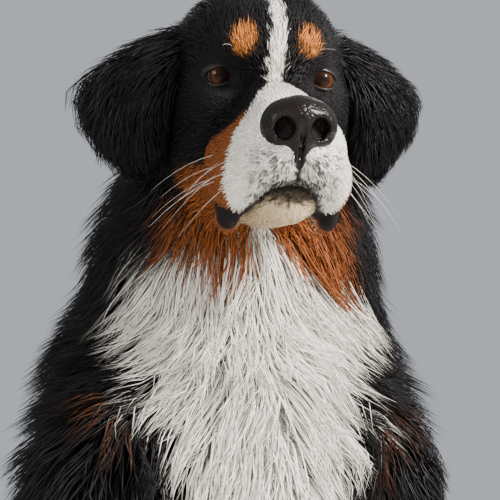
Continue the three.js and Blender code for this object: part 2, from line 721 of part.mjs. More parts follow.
// The origin is on the floor, under the middle of the dog's box
const bounds = new THREE.Box3();
for (const { body } of Object.values(made)) {
  const { min, max } = body.boundingBox();
  bounds.expandByPoint(at(...min)).expandByPoint(at(...max));
}
const middle = bounds.getCenter(at(0, 0, 0));

const model = new THREE.Group();
for (const name of ORDER) {
  const gloss = name.startsWith("eye_") ? 0.08 : name === "nose" ? 0.45 : 0.9;
  const material = new THREE.MeshStandardMaterial({ color: colorOf(name), roughness: gloss, metalness: 0 });
  const body = largest(made[name].body.translate([-middle.x, -middle.y, 0]));
  const mesh = new THREE.Mesh(geometryOf(body), material);
  mesh.name = name;
  model.add(mesh);
}
export default model;
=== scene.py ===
"""A sitting bernese mountain dog at life size: skin, eyes, nose, claws and a long coat of solid tufts."""

import logging
import math
from collections.abc import Callable, Sequence
from dataclasses import dataclass, field
from enum import Enum
from itertools import combinations, pairwise

import bpy
import numpy as np
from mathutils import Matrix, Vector
from mathutils.kdtree import KDTree


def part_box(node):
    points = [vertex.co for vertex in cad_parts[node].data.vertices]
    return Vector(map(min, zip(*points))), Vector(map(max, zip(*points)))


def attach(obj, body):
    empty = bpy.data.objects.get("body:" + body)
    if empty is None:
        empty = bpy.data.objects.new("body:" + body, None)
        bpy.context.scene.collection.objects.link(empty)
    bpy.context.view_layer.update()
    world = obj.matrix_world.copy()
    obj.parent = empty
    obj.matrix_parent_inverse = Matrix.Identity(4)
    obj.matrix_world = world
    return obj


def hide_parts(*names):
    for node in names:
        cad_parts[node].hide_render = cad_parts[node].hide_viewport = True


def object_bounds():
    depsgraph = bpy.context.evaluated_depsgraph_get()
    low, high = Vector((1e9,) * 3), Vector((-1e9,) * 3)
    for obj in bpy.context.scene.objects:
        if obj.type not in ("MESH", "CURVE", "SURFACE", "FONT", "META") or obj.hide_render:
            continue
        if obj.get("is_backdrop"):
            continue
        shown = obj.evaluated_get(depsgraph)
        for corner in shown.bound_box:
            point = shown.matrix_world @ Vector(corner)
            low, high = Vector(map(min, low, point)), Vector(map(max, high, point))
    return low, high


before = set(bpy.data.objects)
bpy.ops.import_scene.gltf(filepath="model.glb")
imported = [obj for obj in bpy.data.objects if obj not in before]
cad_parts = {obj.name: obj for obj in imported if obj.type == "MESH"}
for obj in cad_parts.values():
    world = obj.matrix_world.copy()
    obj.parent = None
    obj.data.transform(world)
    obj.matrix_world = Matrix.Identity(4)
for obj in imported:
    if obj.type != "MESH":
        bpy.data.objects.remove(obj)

LOG = logging.getLogger("dog")
Field = Callable[[np.ndarray], np.ndarray]

MM = 0.001
HEAD_PITCH = math.radians(14)  # muzzle lowered
EYES_MIDDLE = np.array([0.0, -190.0, 800.0])  # in the dog's own millimetres
EYE_RADIUS = 12.0
EYE_PLACE = (-3.0, 38.0, 0.0)
SEED = 7
UV_NAME = "OFBake"
UV_PATCH = 0.003  # one tuft on the map
FLOOR_GAP = 0.4  # skin and coat stay this far above the floor
TUFT_GAP = 1.2  # and the middle of each tuft this far
CHUNK = 200_000  # points worked on at once


class Region(Enum):
    """Parts of the body that wear the coat differently."""

    HEAD = 0
    EARS = 1
    NECK = 2
    TORSO = 3
    ARMS = 4
    FOREARMS = 5
    FOREFEET = 6
    THIGHS = 7
    HIND_FEET = 8
    TAIL = 9


def in_head(forward: float, left: float, up: float) -> np.ndarray:
    """Place in the dog's millimetres of a point given along the head's own directions.

    Args:
        forward: Distance along the muzzle from the line between the eyes.
        left: Distance to the dog's left.
        up: Distance upwards, across the muzzle.

    Returns:
        The point as x, y, z.
    """
    c, s = math.cos(HEAD_PITCH), math.sin(HEAD_PITCH)
    return EYES_MIDDLE + np.array([left, -forward * c - up * s, -forward * s + up * c])


def head_way(forward: float, left: float, up: float) -> np.ndarray:
    """A direction given along the head's own directions."""
    return in_head(forward, left, up) - in_head(0, 0, 0)


def head_places(points: np.ndarray) -> tuple[np.ndarray, np.ndarray, np.ndarray]:
    """The head's own forward, left and up distances of many points."""
    c, s = math.cos(HEAD_PITCH), math.sin(HEAD_PITCH)
    p = points - EYES_MIDDLE
    return -p[:, 1] * c - p[:, 2] * s, p[:, 0], -p[:, 1] * s + p[:, 2] * c


def unit(vectors: np.ndarray) -> np.ndarray:
    """Vectors scaled to length one."""
    length = np.linalg.norm(vectors, axis=-1, keepdims=True)
    return vectors / np.maximum(length, 1e-9)


def smooth_step(x: np.ndarray, low: float, high: float) -> np.ndarray:
    """Soft ramp from 0 at low to 1 at high."""
    t = np.clip((x - low) / (high - low), 0, 1)
    return t * t * (3 - 2 * t)


def ripple(points: np.ndarray, scale: float, seed: float = 0.0) -> np.ndarray:
    """Smooth irregular values between about -1 and 1 over space.

    Args:
        points: Places in millimetres.
        scale: Typical size of a patch in millimetres.
        seed: Shifts the pattern.

    Returns:
        One value for each point.
    """
    q = points / scale
    a = np.sin(q[:, 0] * 1.7 + 1.3 * np.sin(q[:, 1] * 1.1 + seed) + seed)
    b = np.sin(q[:, 1] * 1.9 + 1.1 * np.sin(q[:, 2] * 1.3 + 2 * seed) + 1.7)
    c = np.sin(q[:, 2] * 2.1 + 1.2 * np.sin(q[:, 0] * 1.2 + 3 * seed) + 0.6)
    return (a + b + c) / 3


@dataclass(frozen=True)
class Ball:
    """An ellipsoid mass."""

    center: np.ndarray
    radii: tuple[float, float, float]
    tilt: float = 0.0

    def distance(self, p: np.ndarray) -> np.ndarray:
        """Signed distance of each point, nearly exact close to the surface."""
        q = p - self.center
        if self.tilt:
            c, s = math.cos(-self.tilt), math.sin(-self.tilt)
            q = np.stack([q[:, 0], q[:, 1] * c - q[:, 2] * s, q[:, 1] * s + q[:, 2] * c], 1)
        r = np.array(self.radii)
        near = np.linalg.norm(q / r, axis=1)
        slope = np.linalg.norm(q / r**2, axis=1)
        return near * (near - 1) / np.maximum(slope, 1e-6)


@dataclass(frozen=True)
class Bone:
    """A mass with round ends of two radii."""

    start: np.ndarray
    end: np.ndarray
    radius: float
    end_radius: float

    def distance(self, p: np.ndarray) -> np.ndarray:
        """Signed distance of each point."""
        along = self.end - self.start
        q = p - self.start
        share = np.clip(q @ along / (along @ along), 0, 1)
        radius = self.radius + (self.end_radius - self.radius) * share
        return np.linalg.norm(q - share[:, None] * along, axis=1) - radius


Mass = Ball | Bone


def soft_min(a: np.ndarray, b: np.ndarray, blend: float) -> np.ndarray:
    """Smaller of two distances, rounded where they are close."""
    h = np.maximum(blend - np.abs(a - b), 0) / blend
    return np.minimum(a, b) - h * h * blend / 4


def blended(
    masses: Sequence[Mass], blend: float, hollows: Sequence[Mass] = (), hollow_blend: float = 6
) -> Field:
    """A field of masses that flow into each other, less some hollows.

    Args:
        masses: What is joined.
        blend: How far apart two masses start to flow together.
        hollows: What is cut away.
        hollow_blend: How round the edges of the hollows are.

    Returns:
        The signed distance to the result, as a function of places.
    """

    def distance(p: np.ndarray) -> np.ndarray:
        """The signed distance at each place."""
        total = masses[0].distance(p)
        for mass in masses[1:]:
            total = soft_min(total, mass.distance(p), blend)
        for hollow in hollows:
            total = -soft_min(-total, hollow.distance(p), hollow_blend)
        return total

    return distance


def point(x: float, y: float, z: float) -> np.ndarray:
    """A point in the dog's millimetres."""
    return np.array([x, y, z], float)


def chain(places: Sequence[np.ndarray], radii: Sequence[float]) -> list[Mass]:
    """Bones from each place to the next."""
    return [Bone(*ends, *sizes) for ends, sizes in zip(pairwise(places), pairwise(radii), strict=True)]


SPINE = [
    point(0, -38, 545),
    point(0, 40, 462),
    point(0, 120, 376),
    point(0, 190, 285),
    point(0, 255, 195),
    point(0, 300, 122),
]
SPINE_RADII = [100, 124, 128, 118, 122, 108]
TAIL = [
    point(0, 385, 118),
    point(6, 442, 66),
    point(40, 505, 42),
    point(105, 552, 38),
    point(180, 560, 32),
    point(238, 540, 26),
]
TAIL_RADII = [36, 32, 27, 23, 18, 11]
# forward, left, up and half width of the left ear, from its root down, along the head's own directions
EAR_LINE = [(-58, 48, 31, 24), (-57, 77, 13, 33), (-52, 98, -8, 39), (-48, 100, -34, 27), (-44, 91, -61, 9)]
EAR_ACROSS = np.array([0.78, 0.62, 0.0]) * 0.85
EAR_THICKNESS = 4.5
FORE_TOE = 17.0
HIND_TOE = 16.0
LIMB_BLENDS = {"arm": 24, "forearm": 14, "forefoot": 8, "thigh": 20, "hind_foot": 8}
TOE_PITCH = 1.25  # from one toe to the next, in toe radii


def fore_toes(s: int) -> np.ndarray:
    """Middle of the front toes' tips on one side."""
    return point(96 * s, -118, 22)


def hind_toes(s: int) -> np.ndarray:
    """Middle of the hind toes' tips on one side."""
    return point(134 * s, 88, 21)


def toe_tips(middle: np.ndarray, radius: float) -> list[np.ndarray]:
    """Tips of four toes side by side, the middle two in front."""
    return [
        middle + np.array([place * radius * TOE_PITCH, radius * 0.75 if abs(place) > 1 else 0.0, 0.0])
        for place in (-1.5, -0.5, 0.5, 1.5)
    ]


def toes(middle: np.ndarray, radius: float) -> list[Mass]:
    """Four toes as short bones."""
    knuckle = np.array([0.0, radius, radius * 0.5])
    return [Bone(tip + knuckle, tip, radius, radius * 0.9) for tip in toe_tips(middle, radius)]


def toe_creases(middle: np.ndarray, radius: float) -> list[Mass]:
    """Hollows between the four toes, up their fronts and over their tops."""
    creases: list[Mass] = []
    for place in (-1, 0, 1):
        recess = radius * (0.95 - 0.3 * abs(place))
        low = middle + np.array([place * radius * TOE_PITCH, -recess, -radius * 0.7])
        knee = low + np.array([0, radius * 0.25, radius * 1.45])
        back = knee + np.array([0, radius * 1.5, radius * 0.75])
        creases += [Bone(low, knee, 3.6, 4.2), Bone(knee, back, 4.2, 2.6)]
    return creases


@dataclass
class Anatomy:
    """The dog's masses under its coat, part by part."""

    parts: dict[str, Field] = field(default_factory=dict)
    regions: dict[str, Region] = field(default_factory=dict)

    def __post_init__(self) -> None:
        """Lays down every part."""
        self._head()
        self._trunk()
        for sign, side in ((1, "left"), (-1, "right")):
            self._legs(sign, side)
            self._ear(sign, side)

    def _add(self, name: str, region: Region, part: Field) -> None:
        """Keeps one part and the region of coat that grows on it."""
        self.parts[name] = part
        self.regions[name] = region

    def _head(self) -> None:
        """Skull, cheeks, muzzle and jaw, and the neck behind them."""
        masses: list[Mass] = [Ball(in_head(-58, 0, 9), (61, 74, 61)), Ball(in_head(-16, 0, 20), (43, 44, 36))]
        hollows: list[Mass] = []
        jaw: list[Mass] = [Bone(in_head(84, 0, -82), in_head(0, 0, -80), 18, 30)]
        for s in (1, -1):
            masses += [
                Ball(in_head(-34, 37 * s, -22), (28, 48, 40)),
                Ball(in_head(-48, 36 * s, -54), (30, 46, 38)),
                Ball(in_head(4, 25 * s, 22), (17, 17, 12)),
                Bone(in_head(90, 17 * s, -48), in_head(30, 22 * s, -60), 21, 27),
                Ball(in_head(104, 14 * s, -56), (17, 18, 15)),
                Ball(in_head(78, 27 * s, -70), (16, 26, 16)),
                Ball(in_head(54, 34 * s, -76), (14, 34, 22)),
            ]
            hollows.append(Ball(in_head(16, 42 * s, -1), (15, 12, 11)))
            jaw.append(Bone(in_head(70, 14 * s, -78), in_head(-30, 26 * s, -80), 15, 24))
            jaw.append(Ball(in_head(48, 36 * s, -97), (9, 20, 13)))
        masses.append(Bone(in_head(10, 0, -32), in_head(96, 0, -38), 30, 27))
        hollows.append(Bone(in_head(123, 0, -46), in_head(120, 0, -74), 1.5, 1.5))
        self._add("head", Region.HEAD, blended(masses, 12, hollows, 3.5))
        self._add("jaw", Region.HEAD, blended(jaw, 10))
        nape = chain([in_head(-72, 0, -34), point(0, -50, 690), point(0, -8, 590)], [56, 82, 108])
        self._add("neck", Region.NECK, blended(nape, 40))

    def _trunk(self) -> None:
        """Spine, chest, belly and tail."""
        masses: list[Mass] = [
            *chain(SPINE, SPINE_RADII),
            Ball(point(0, -84, 500), (72, 68, 78)),
            Ball(point(0, 2, 420), (84, 96, 92)),
            Ball(point(0, 42, 586), (58, 74, 68)),
        ]
        self._add("torso", Region.TORSO, blended(masses, 40))
        self._add("tail", Region.TAIL, blended(chain(TAIL, TAIL_RADII), 12))

    def _legs(self, s: int, side: str) -> None:
        """The fore and hind leg on one side, with their feet."""
        arm: list[Mass] = [
            *chain([point(40 * s, 38, 612), point(84 * s, -72, 500), point(98 * s, 18, 345)], [40, 56, 46]),
            Ball(point(98 * s, -6, 442), (50, 84, 98)),
        ]
        bones = [point(98 * s, 18, 335), point(94 * s, -22, 190), point(93 * s, -34, 118)]
        forearm = chain(bones, [46, 32, 30])
        forefoot: list[Mass] = [
            Bone(point(93 * s, -34, 118), point(95 * s, -62, 52), 30, 30),
            Ball(point(96 * s, -84, 30), (40, 54, 32)),
            *toes(fore_toes(s), FORE_TOE),
        ]
        thigh: list[Mass] = [
            Ball(point(112 * s, 218, 160), (64, 142, 130), -0.15),
            Bone(point(118 * s, 180, 190), point(132 * s, 104, 208), 80, 54),
            Bone(point(132 * s, 110, 196), point(128 * s, 286, 62), 50, 30),
        ]
        hind_foot: list[Mass] = [
            Bone(point(127 * s, 316, 36), point(130 * s, 190, 30), 26, 27),
            Ball(point(134 * s, 122, 28), (38, 54, 30)),
            *toes(hind_toes(s), HIND_TOE),
        ]
        self._add(f"arm_{side}", Region.ARMS, blended(arm, 26))
        self._add(f"forearm_{side}", Region.FOREARMS, blended(forearm, 26))
        creases = toe_creases(fore_toes(s), FORE_TOE)
        self._add(f"forefoot_{side}", Region.FOREFEET, blended(forefoot, 7, creases, 4))
        self._add(f"thigh_{side}", Region.THIGHS, blended(thigh, 26))
        creases = toe_creases(hind_toes(s), HIND_TOE)
        self._add(f"hind_foot_{side}", Region.HIND_FEET, blended(hind_foot, 7, creases, 4))

    def _ear(self, s: int, side: str) -> None:
        """One hanging ear, from slats across its line."""
        leaf: list[Mass] = []
        places = np.array(EAR_LINE)
        across = EAR_ACROSS * np.array([s, 1, 1])
        for station in np.arange(0, len(places) - 0.9, 0.5).tolist():
            f, l, u, half = (np.interp(station, range(len(places)), places[:, k]) for k in range(4))
            middle = in_head(f, l * s, u)
            leaf.append(Bone(middle - across * half, middle + across * half, EAR_THICKNESS, EAR_THICKNESS))
        self._add(f"ear_{side}", Region.EARS, blended(leaf, 18))

    def whole(self) -> Field:
        """The skin of the whole dog."""
        parts = self.parts

        def distance(p: np.ndarray) -> np.ndarray:
            """The signed distance to the whole dog."""
            face = soft_min(parts["head"](p), parts["jaw"](p), 2.5)
            total = soft_min(face, parts["neck"](p), 26)
            total = soft_min(total, parts["torso"](p), 34)
            for side in ("left", "right"):
                for limb, blend in LIMB_BLENDS.items():
                    total = soft_min(total, parts[f"{limb}_{side}"](p), blend)
            return soft_min(total, parts["tail"](p), 14)

        return distance


@dataclass
class Placing:
    """Where the dog's millimetres lie in the frame."""

    shift: np.ndarray = field(default_factory=lambda: np.zeros(3))

    @classmethod
    def from_frame(cls) -> "Placing":
        """Reads the shift off the two eyes."""
        boxes = [np.array(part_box(name), float) for name in ("eye_left", "eye_right")]
        middle = sum(box.mean(axis=0) for box in boxes) / 2
        return cls(middle - in_head(EYE_PLACE[0], 0, EYE_PLACE[2]) * MM)

    def world(self, points: np.ndarray) -> np.ndarray:
        """Metres in the frame of points in the dog's millimetres."""
        return points * MM + self.shift


@dataclass
class Surface:
    """A mesh in the dog's millimetres."""

    points: np.ndarray
    faces: np.ndarray
    colors: np.ndarray | None = None
    floats: dict[str, np.ndarray] = field(default_factory=dict)
    uv: np.ndarray | None = None

    def piece(self, name: str, placing: Placing, material: bpy.types.Material) -> bpy.types.Object:
        """The finished object, shaded smooth.

        Args:
            name: Name of the object and its mesh.
            placing: Where the dog lies in the frame.
            material: The finish.

        Returns:
            The object, riding on the root body.
        """
        mesh = bpy.data.meshes.new(name)
        count, corners = self.faces.shape
        mesh.vertices.add(len(self.points))
        mesh.vertices.foreach_set("co", placing.world(self.points).astype(np.float32).ravel())
        mesh.loops.add(count * corners)
        mesh.loops.foreach_set("vertex_index", self.faces.astype(np.int32).ravel())
        mesh.polygons.add(count)
        mesh.polygons.foreach_set("loop_start", np.arange(0, count * corners, corners, dtype=np.int32))
        mesh.update(calc_edges=True)
        mesh.polygons.foreach_set("use_smooth", np.full(count, True))
        if self.colors is not None:
            rgba = np.ones((len(self.points), 4), np.float32)
            rgba[:, :3] = self.colors
            mesh.color_attributes.new("tint", "FLOAT_COLOR", "POINT").data.foreach_set("color", rgba.ravel())
        for key, values in self.floats.items():
            mesh.attributes.new(key, "FLOAT", "POINT").data.foreach_set("value", values.astype(np.float32))
        if self.uv is not None:
            layer = mesh.uv_layers.new(name=UV_NAME)
            layer.data.foreach_set("uv", self.uv[self.faces.ravel()].astype(np.float32).ravel())
        mesh.materials.append(material)
        piece = bpy.data.objects.new(name, mesh)
        bpy.context.scene.collection.objects.link(piece)
        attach(piece, "root")
        return piece


def gradient(distance: Field, p: np.ndarray, step: float = 0.8) -> np.ndarray:
    """Outward direction of a field at many points."""
    columns = []
    for axis in range(3):
        move = np.zeros(3)
        move[axis] = step
        columns.append(distance(p + move) - distance(p - move))
    return unit(np.stack(columns, 1))


def chunks(count: int) -> list[slice]:
    """Slices of a long row, each short enough to work on at once."""
    return [slice(start, start + CHUNK) for start in range(0, count, CHUNK)]


CELL_CORNERS = [np.array([i >> 2 & 1, i >> 1 & 1, i & 1]) for i in range(8)]


@dataclass
class Net:
    """Draws the zero surface of a field as quads on a grid.

    The box from low to high holds the surface, the step is the grid's, and the field is first tried
    at every few corners (coarse) to find those near the surface.
    """

    distance: Field
    low: np.ndarray
    high: np.ndarray
    step: float
    coarse: int = 4
    reach: float = 2.2

    def _values(self, shape: tuple[int, ...]) -> np.ndarray:
        """The field at the grid's corners, exact only near the surface."""
        n = self.coarse
        rough_shape = [s // n + 2 for s in shape]
        grid = np.meshgrid(*[np.arange(s) for s in rough_shape], indexing="ij")
        rough_points = np.stack(grid, -1).reshape(-1, 3)
        full = self.distance(self.low + rough_points * self.step * n).reshape(rough_shape)
        for axis, s in enumerate(shape):
            full = np.repeat(full, n, axis=axis).take(np.arange(s), axis=axis)
        near = np.abs(full) < self.step * n * self.reach
        index = np.argwhere(near)
        exact = np.concatenate(
            [self.distance(self.low + index[part] * self.step) for part in chunks(len(index))]
        )
        full[near] = exact
        return full

    def surface(self, settle: int = 2) -> Surface:
        """The welded surface.

        Args:
            settle: How often the points are moved onto the field.

        Returns:
            Points and quads that face outwards.
        """
        shape = tuple(int(v) + 2 for v in np.ceil((self.high - self.low) / self.step))
        values = self._values(shape)
        inside = values < 0
        cell_shape = tuple(s - 1 for s in shape)
        counts = np.zeros(cell_shape, np.int8)
        for corner in CELL_CORNERS:
            counts += inside[tuple(slice(k, k + s) for k, s in zip(corner, cell_shape, strict=True))]
        active = (counts > 0) & (counts < len(CELL_CORNERS))
        cells = np.argwhere(active)
        number = np.full(cell_shape, -1, np.int64)
        number[active] = np.arange(len(cells))
        points = self.low + (cells + self._crossings(values, cells)) * self.step
        quads = np.concatenate([self._quads(inside, number, axis) for axis in range(3)])
        for _ in range(settle):
            for part in chunks(len(points)):
                points[part] -= self.distance(points[part])[:, None] * gradient(self.distance, points[part])
        return Surface(points, quads[(quads >= 0).all(axis=1)])

    @staticmethod
    def _crossings(values: np.ndarray, cells: np.ndarray) -> np.ndarray:
        """Mean place within each cell where the surface cuts the cell's edges."""
        total = np.zeros((len(cells), 3))
        hits = np.zeros(len(cells))
        for a, b in combinations(CELL_CORNERS, 2):
            if np.abs(a - b).sum() != 1:
                continue
            start, end = values[tuple((cells + a).T)], values[tuple((cells + b).T)]
            cross = (start < 0) != (end < 0)
            share = start / np.where(cross, start - end, 1)
            total[cross] += (a + (b - a) * share[:, None])[cross]
            hits[cross] += 1
        return total / hits[:, None]

    @staticmethod
    def _quads(inside: np.ndarray, number: np.ndarray, axis: int) -> np.ndarray:
        """A quad round every grid edge along one axis that the surface crosses."""
        ahead, one, two = (np.roll([1, 0, 0], axis + k) for k in range(3))
        here = tuple(slice(1, s - 1) for s in inside.shape)
        there = tuple(slice(1 + k, s - 1 + k) for k, s in zip(ahead, inside.shape, strict=True))
        at = np.argwhere(inside[here] != inside[there]) + 1
        quad = np.stack([number[tuple((at - move).T)] for move in (0 * one, one, one + two, two)], 1)
        leaving = inside[tuple(at.T)]
        quad[~leaving] = quad[~leaving][:, ::-1]
        return quad


def normals_of(points: np.ndarray, quads: np.ndarray) -> np.ndarray:
    """Smooth normals at a quad mesh's points."""
    a, b, c, d = (points[quads[:, i]] for i in range(4))
    n = np.cross(c - a, d - b)
    total = np.zeros_like(points)
    for i in range(4):
        for k in range(3):
            total[:, k] += np.bincount(quads[:, i], n[:, k], len(points))
    return unit(total)


def relaxed(values: np.ndarray, quads: np.ndarray, rounds: int) -> np.ndarray:
    """Values at a mesh's points, evened out with their neighbours'."""
    ends = np.concatenate([quads[:, [i, (i + 1) % 4]] for i in range(4)])
    count = np.bincount(ends[:, 0], minlength=len(values)) + np.bincount(ends[:, 1], minlength=len(values))
    flat = values.reshape(len(values), -1).astype(float)
    for _ in range(rounds):
        total = np.zeros_like(flat)
        for k in range(flat.shape[1]):
            total[:, k] += np.bincount(ends[:, 0], flat[ends[:, 1], k], len(flat))
            total[:, k] += np.bincount(ends[:, 1], flat[ends[:, 0], k], len(flat))
        flat = 0.4 * flat + 0.6 * total / np.maximum(count, 1)[:, None]
    return flat.reshape(values.shape)


class Tone(Enum):
    """Colours of the coat and the bare skin, in linear light."""

    BLACK = (0.0065, 0.0058, 0.0068)
    WHITE = (0.90, 0.87, 0.815)
    RUST = (0.27, 0.078, 0.018)
    BROW = (0.46, 0.165, 0.036)
    CREAM = (0.72, 0.56, 0.37)
    LIP = (0.010, 0.007, 0.008)


BIB_HEIGHTS = (424, 470, 530, 585, 625, 660, 690, 770)
BIB_HALF_WIDTHS = (8, 32, 42, 46, 54, 66, 72, 60)


def among(region: np.ndarray, *chosen: Region) -> np.ndarray:
    """Whether each region's number is that of one of the chosen regions."""
    return np.isin(region, [key.value for key in chosen])


def oval(places: Sequence[np.ndarray], middle: Sequence[float], radii: Sequence[float]) -> np.ndarray:
    """How deep each point lies in an oval patch, 1 in its middle and 0 at its edge."""
    squares = [((a - m) / r) ** 2 for a, m, r in zip(places, middle, radii, strict=True)]
    return 1 - np.sqrt(sum(squares))


def mixed(base: np.ndarray, tone: Tone, mask: np.ndarray) -> np.ndarray:
    """A tone laid over a base colour by a mask."""
    m = np.clip(mask, 0, 1)[:, None]
    return base * (1 - m) + np.array(tone.value) * m


@dataclass
class Markings:
    """The breed's pattern as functions of place, worn alike by skin and coat."""

    anatomy: Anatomy

    @staticmethod
    def _over(amount: np.ndarray, width: float) -> np.ndarray:
        """How far an amount is over zero, from 0 to 1 across twice the width."""
        return smooth_step(amount, -width, width)

    def colors(self, p: np.ndarray, region: np.ndarray) -> np.ndarray:
        """The colour at each point.

        Args:
            p: Points on or near the skin, in the dog's millimetres.
            region: The region's number for each point.

        Returns:
            Linear red, green and blue.
        """
        rgb = np.tile(np.array(Tone.BLACK.value), (len(p), 1))
        head = among(region, Region.HEAD) | among(region, Region.NECK) & (p[:, 2] > 690)
        rgb = self._body(rgb, p, region, ~among(region, Region.HEAD, Region.EARS))
        return self._head(rgb, p, head)

    def _head(self, rgb: np.ndarray, p: np.ndarray, on: np.ndarray) -> np.ndarray:
        """Cheeks, brow spots, blaze, muzzle and chin."""
        f, l, u = head_places(p)
        side = np.abs(l)
        wobble = ripple(p, 9, 1.0) * 2.5
        under_eye = -33 - 0.42 * np.maximum(62 - f, 0) + 0.4 * np.clip(f - 40, 0, 36)
        cheek = np.minimum.reduce([under_eye - u, f + 26, 130 - f]) + wobble
        off_middle = np.maximum(smooth_step(side, 16, 26), smooth_step(-u, 60, 80))
        rgb = mixed(rgb, Tone.RUST, self._over(cheek, 4) * off_middle * on)
        brow = oval((side, u, f), (22.5, 25, 14), (9, 9.5, 30))
        rgb = mixed(rgb, Tone.BROW, self._over(brow * 9 + wobble * 0.4, 2) * on)
        ahead = np.maximum(f - 34, 0)
        half = 4.7 + 0.5 * ahead + 0.006 * ahead**2
        blaze = np.minimum(half - side, f + 74) + wobble * 0.25
        width = 32 + np.clip(l / 3, -8, 4)
        muzzle = np.minimum(f - 66 - 0.8 * np.maximum(side - 22, 0), width - side) + wobble
        white = np.maximum(self._over(blaze, 1.6), self._over(muzzle, 3))
        rgb = mixed(rgb, Tone.WHITE, white * on)
        lower = self.anatomy.parts["head"](p) - self.anatomy.parts["jaw"](p)
        chin = np.minimum.reduce([f - 2, 27 - side, -66 - u, lower + 1.5]) + wobble * 0.6
        rgb = mixed(rgb, Tone.CREAM, self._over(chin, 4) * on)
        return self._lips(rgb, p, on)

    def _lips(self, rgb: np.ndarray, p: np.ndarray, on: np.ndarray) -> np.ndarray:
        """Dark edges of the lips, their folds, the groove and the specks under the nose."""
        f, l, u = head_places(p)
        side = np.abs(l)
        speck = smooth_step(ripple(p, 1.9, 3.0) + 0.5 * ripple(p, 4.0, 8.0), -0.1, 0.35)
        under = np.minimum.reduce([f - 90, 30 - side, -46 - u, u + 82])
        rgb = mixed(rgb, Tone.LIP, 0.9 * speck * self._over(under, 5) * on)
        rgb = mixed(rgb, Tone.LIP, self.lip(p) * on)
        patch = oval((l, u), (0, -76), (20, 8.5))
        rgb = mixed(rgb, Tone.LIP, 0.85 * self._over(patch * 6, 2) * (f > 80) * on)
        groove = np.minimum.reduce([1.6 - side, -44 - u, u + 70, f - 100])
        pad = oval((f, l, u), (118, 0, -32), (15, 23, 12.5))
        return mixed(rgb, Tone.LIP, np.maximum(self._over(groove, 0.8), self._over(pad * 12, 1)) * on)

    def lip(self, p: np.ndarray) -> np.ndarray:
        """How much each point lies on the bare edge between upper lip and jaw."""
        f, l, u = head_places(p)
        gap = np.abs(self.anatomy.parts["head"](p) - self.anatomy.parts["jaw"](p))
        edge = (1 - smooth_step(gap, 2.0, 5.0)) * smooth_step(f, 22, 34) * smooth_step(-u, 58, 64)
        fold = oval((np.abs(l), u, f), (38, -100, 64), (11, 11, 17))
        return np.maximum(edge, self._over(fold * 9, 2))

    def _body(self, rgb: np.ndarray, p: np.ndarray, region: np.ndarray, on: np.ndarray) -> np.ndarray:
        """Throat, shoulder patches and tufts, and the bib."""
        x, y, z = p.T
        side = np.abs(x)
        wobble = ripple(p, 22, 2.0) * 7 + ripple(p, 8, 5.0) * 4
        ahead = -84 - y - 0.8 * np.maximum(z - 726, 0)
        throat = np.minimum.reduce([62 - side, 790 - z, z - 688 + 0.16 * x, ahead]) + wobble * 0.7
        rgb = mixed(rgb, Tone.RUST, self._over(throat, 5) * on)
        patch = oval((side, z, y), (84, 562, -122), (13, 14, 30))
        rgb = mixed(rgb, Tone.RUST, 0.25 * self._over(patch * 15 + wobble * 0.6, 7) * on)
        tuft = oval((side, z, y), (62, 574, -130), (6, 7, 30))
        rgb = mixed(rgb, Tone.WHITE, 0.75 * self._over(tuft * 9 + wobble * 0.3, 3) * on)
        half = np.interp(z, BIB_HEIGHTS, BIB_HALF_WIDTHS)
        top = np.maximum(688 - 0.16 * x - z, 17 - side)
        front = -40 - y - 0.6 * np.maximum(z - 680, 0)
        bib = np.minimum.reduce([half - side, z - BIB_HEIGHTS[0], front, top]) + wobble * 0.6
        rgb = mixed(rgb, Tone.WHITE, self._over(bib, 4) * on)
        return self._legs(rgb, p, region, wobble)

    def _legs(self, rgb: np.ndarray, p: np.ndarray, region: np.ndarray, wobble: np.ndarray) -> np.ndarray:
        """Rust legs, white feet and the white tip of the tail."""
        x, y, z = p.T
        side = np.abs(x)
        front = smooth_step(-y + 0.25 * (230 - z), -40, 20)
        inner = smooth_step(118 - side, 0, 18)
        rust_fore = np.maximum(front, inner) * smooth_step(330 - z + wobble, 0, 30)
        rgb = mixed(rgb, Tone.RUST, rust_fore * among(region, Region.FOREARMS, Region.FOREFEET))
        rust_hind = np.maximum(smooth_step(110 - z + wobble, 0, 24), smooth_step(104 - side, 0, 14))
        rgb = mixed(rgb, Tone.RUST, rust_hind * among(region, Region.THIGHS, Region.HIND_FEET))
        paws = smooth_step(84 - z + wobble + 18 * front, -8, 8) * among(region, Region.FOREFEET)
        toe_caps = smooth_step(168 - y + wobble, -8, 8) * among(region, Region.HIND_FEET)
        rgb = mixed(rgb, Tone.WHITE, np.maximum(paws, toe_caps))
        tail = smooth_step(x + wobble * 0.8, 188, 206) * among(region, Region.TAIL)
        return mixed(rgb, Tone.WHITE, tail)


@dataclass(frozen=True)
class CoatRule:
    """How the coat grows in one region, in millimetres."""

    length: float
    height: float
    width: float
    spacing: float


COAT_RULES = {
    Region.HEAD: CoatRule(11, 3.2, 0.95, 1.75),
    Region.EARS: CoatRule(42, 12, 1.25, 1.95),
    Region.NECK: CoatRule(78, 44, 1.7, 3.1),
    Region.TORSO: CoatRule(80, 36, 2.6, 5.0),
    Region.ARMS: CoatRule(62, 27, 2.3, 4.3),
    Region.FOREARMS: CoatRule(26, 10, 1.8, 3.5),
    Region.FOREFEET: CoatRule(10, 2.6, 1.4, 3.2),
    Region.THIGHS: CoatRule(74, 32, 2.8, 5.1),
    Region.HIND_FEET: CoatRule(11, 2.8, 1.5, 3.3),
    Region.TAIL: CoatRule(88, 42, 2.6, 3.7),
}


BODY_BOX = (point(-215, -330, -16), point(300, 600, 895))
BODY_STEP = 6.0
EAR_BOX = (point(-170, -250, 690), point(170, -60, 880))
EAR_STEP = 3.4


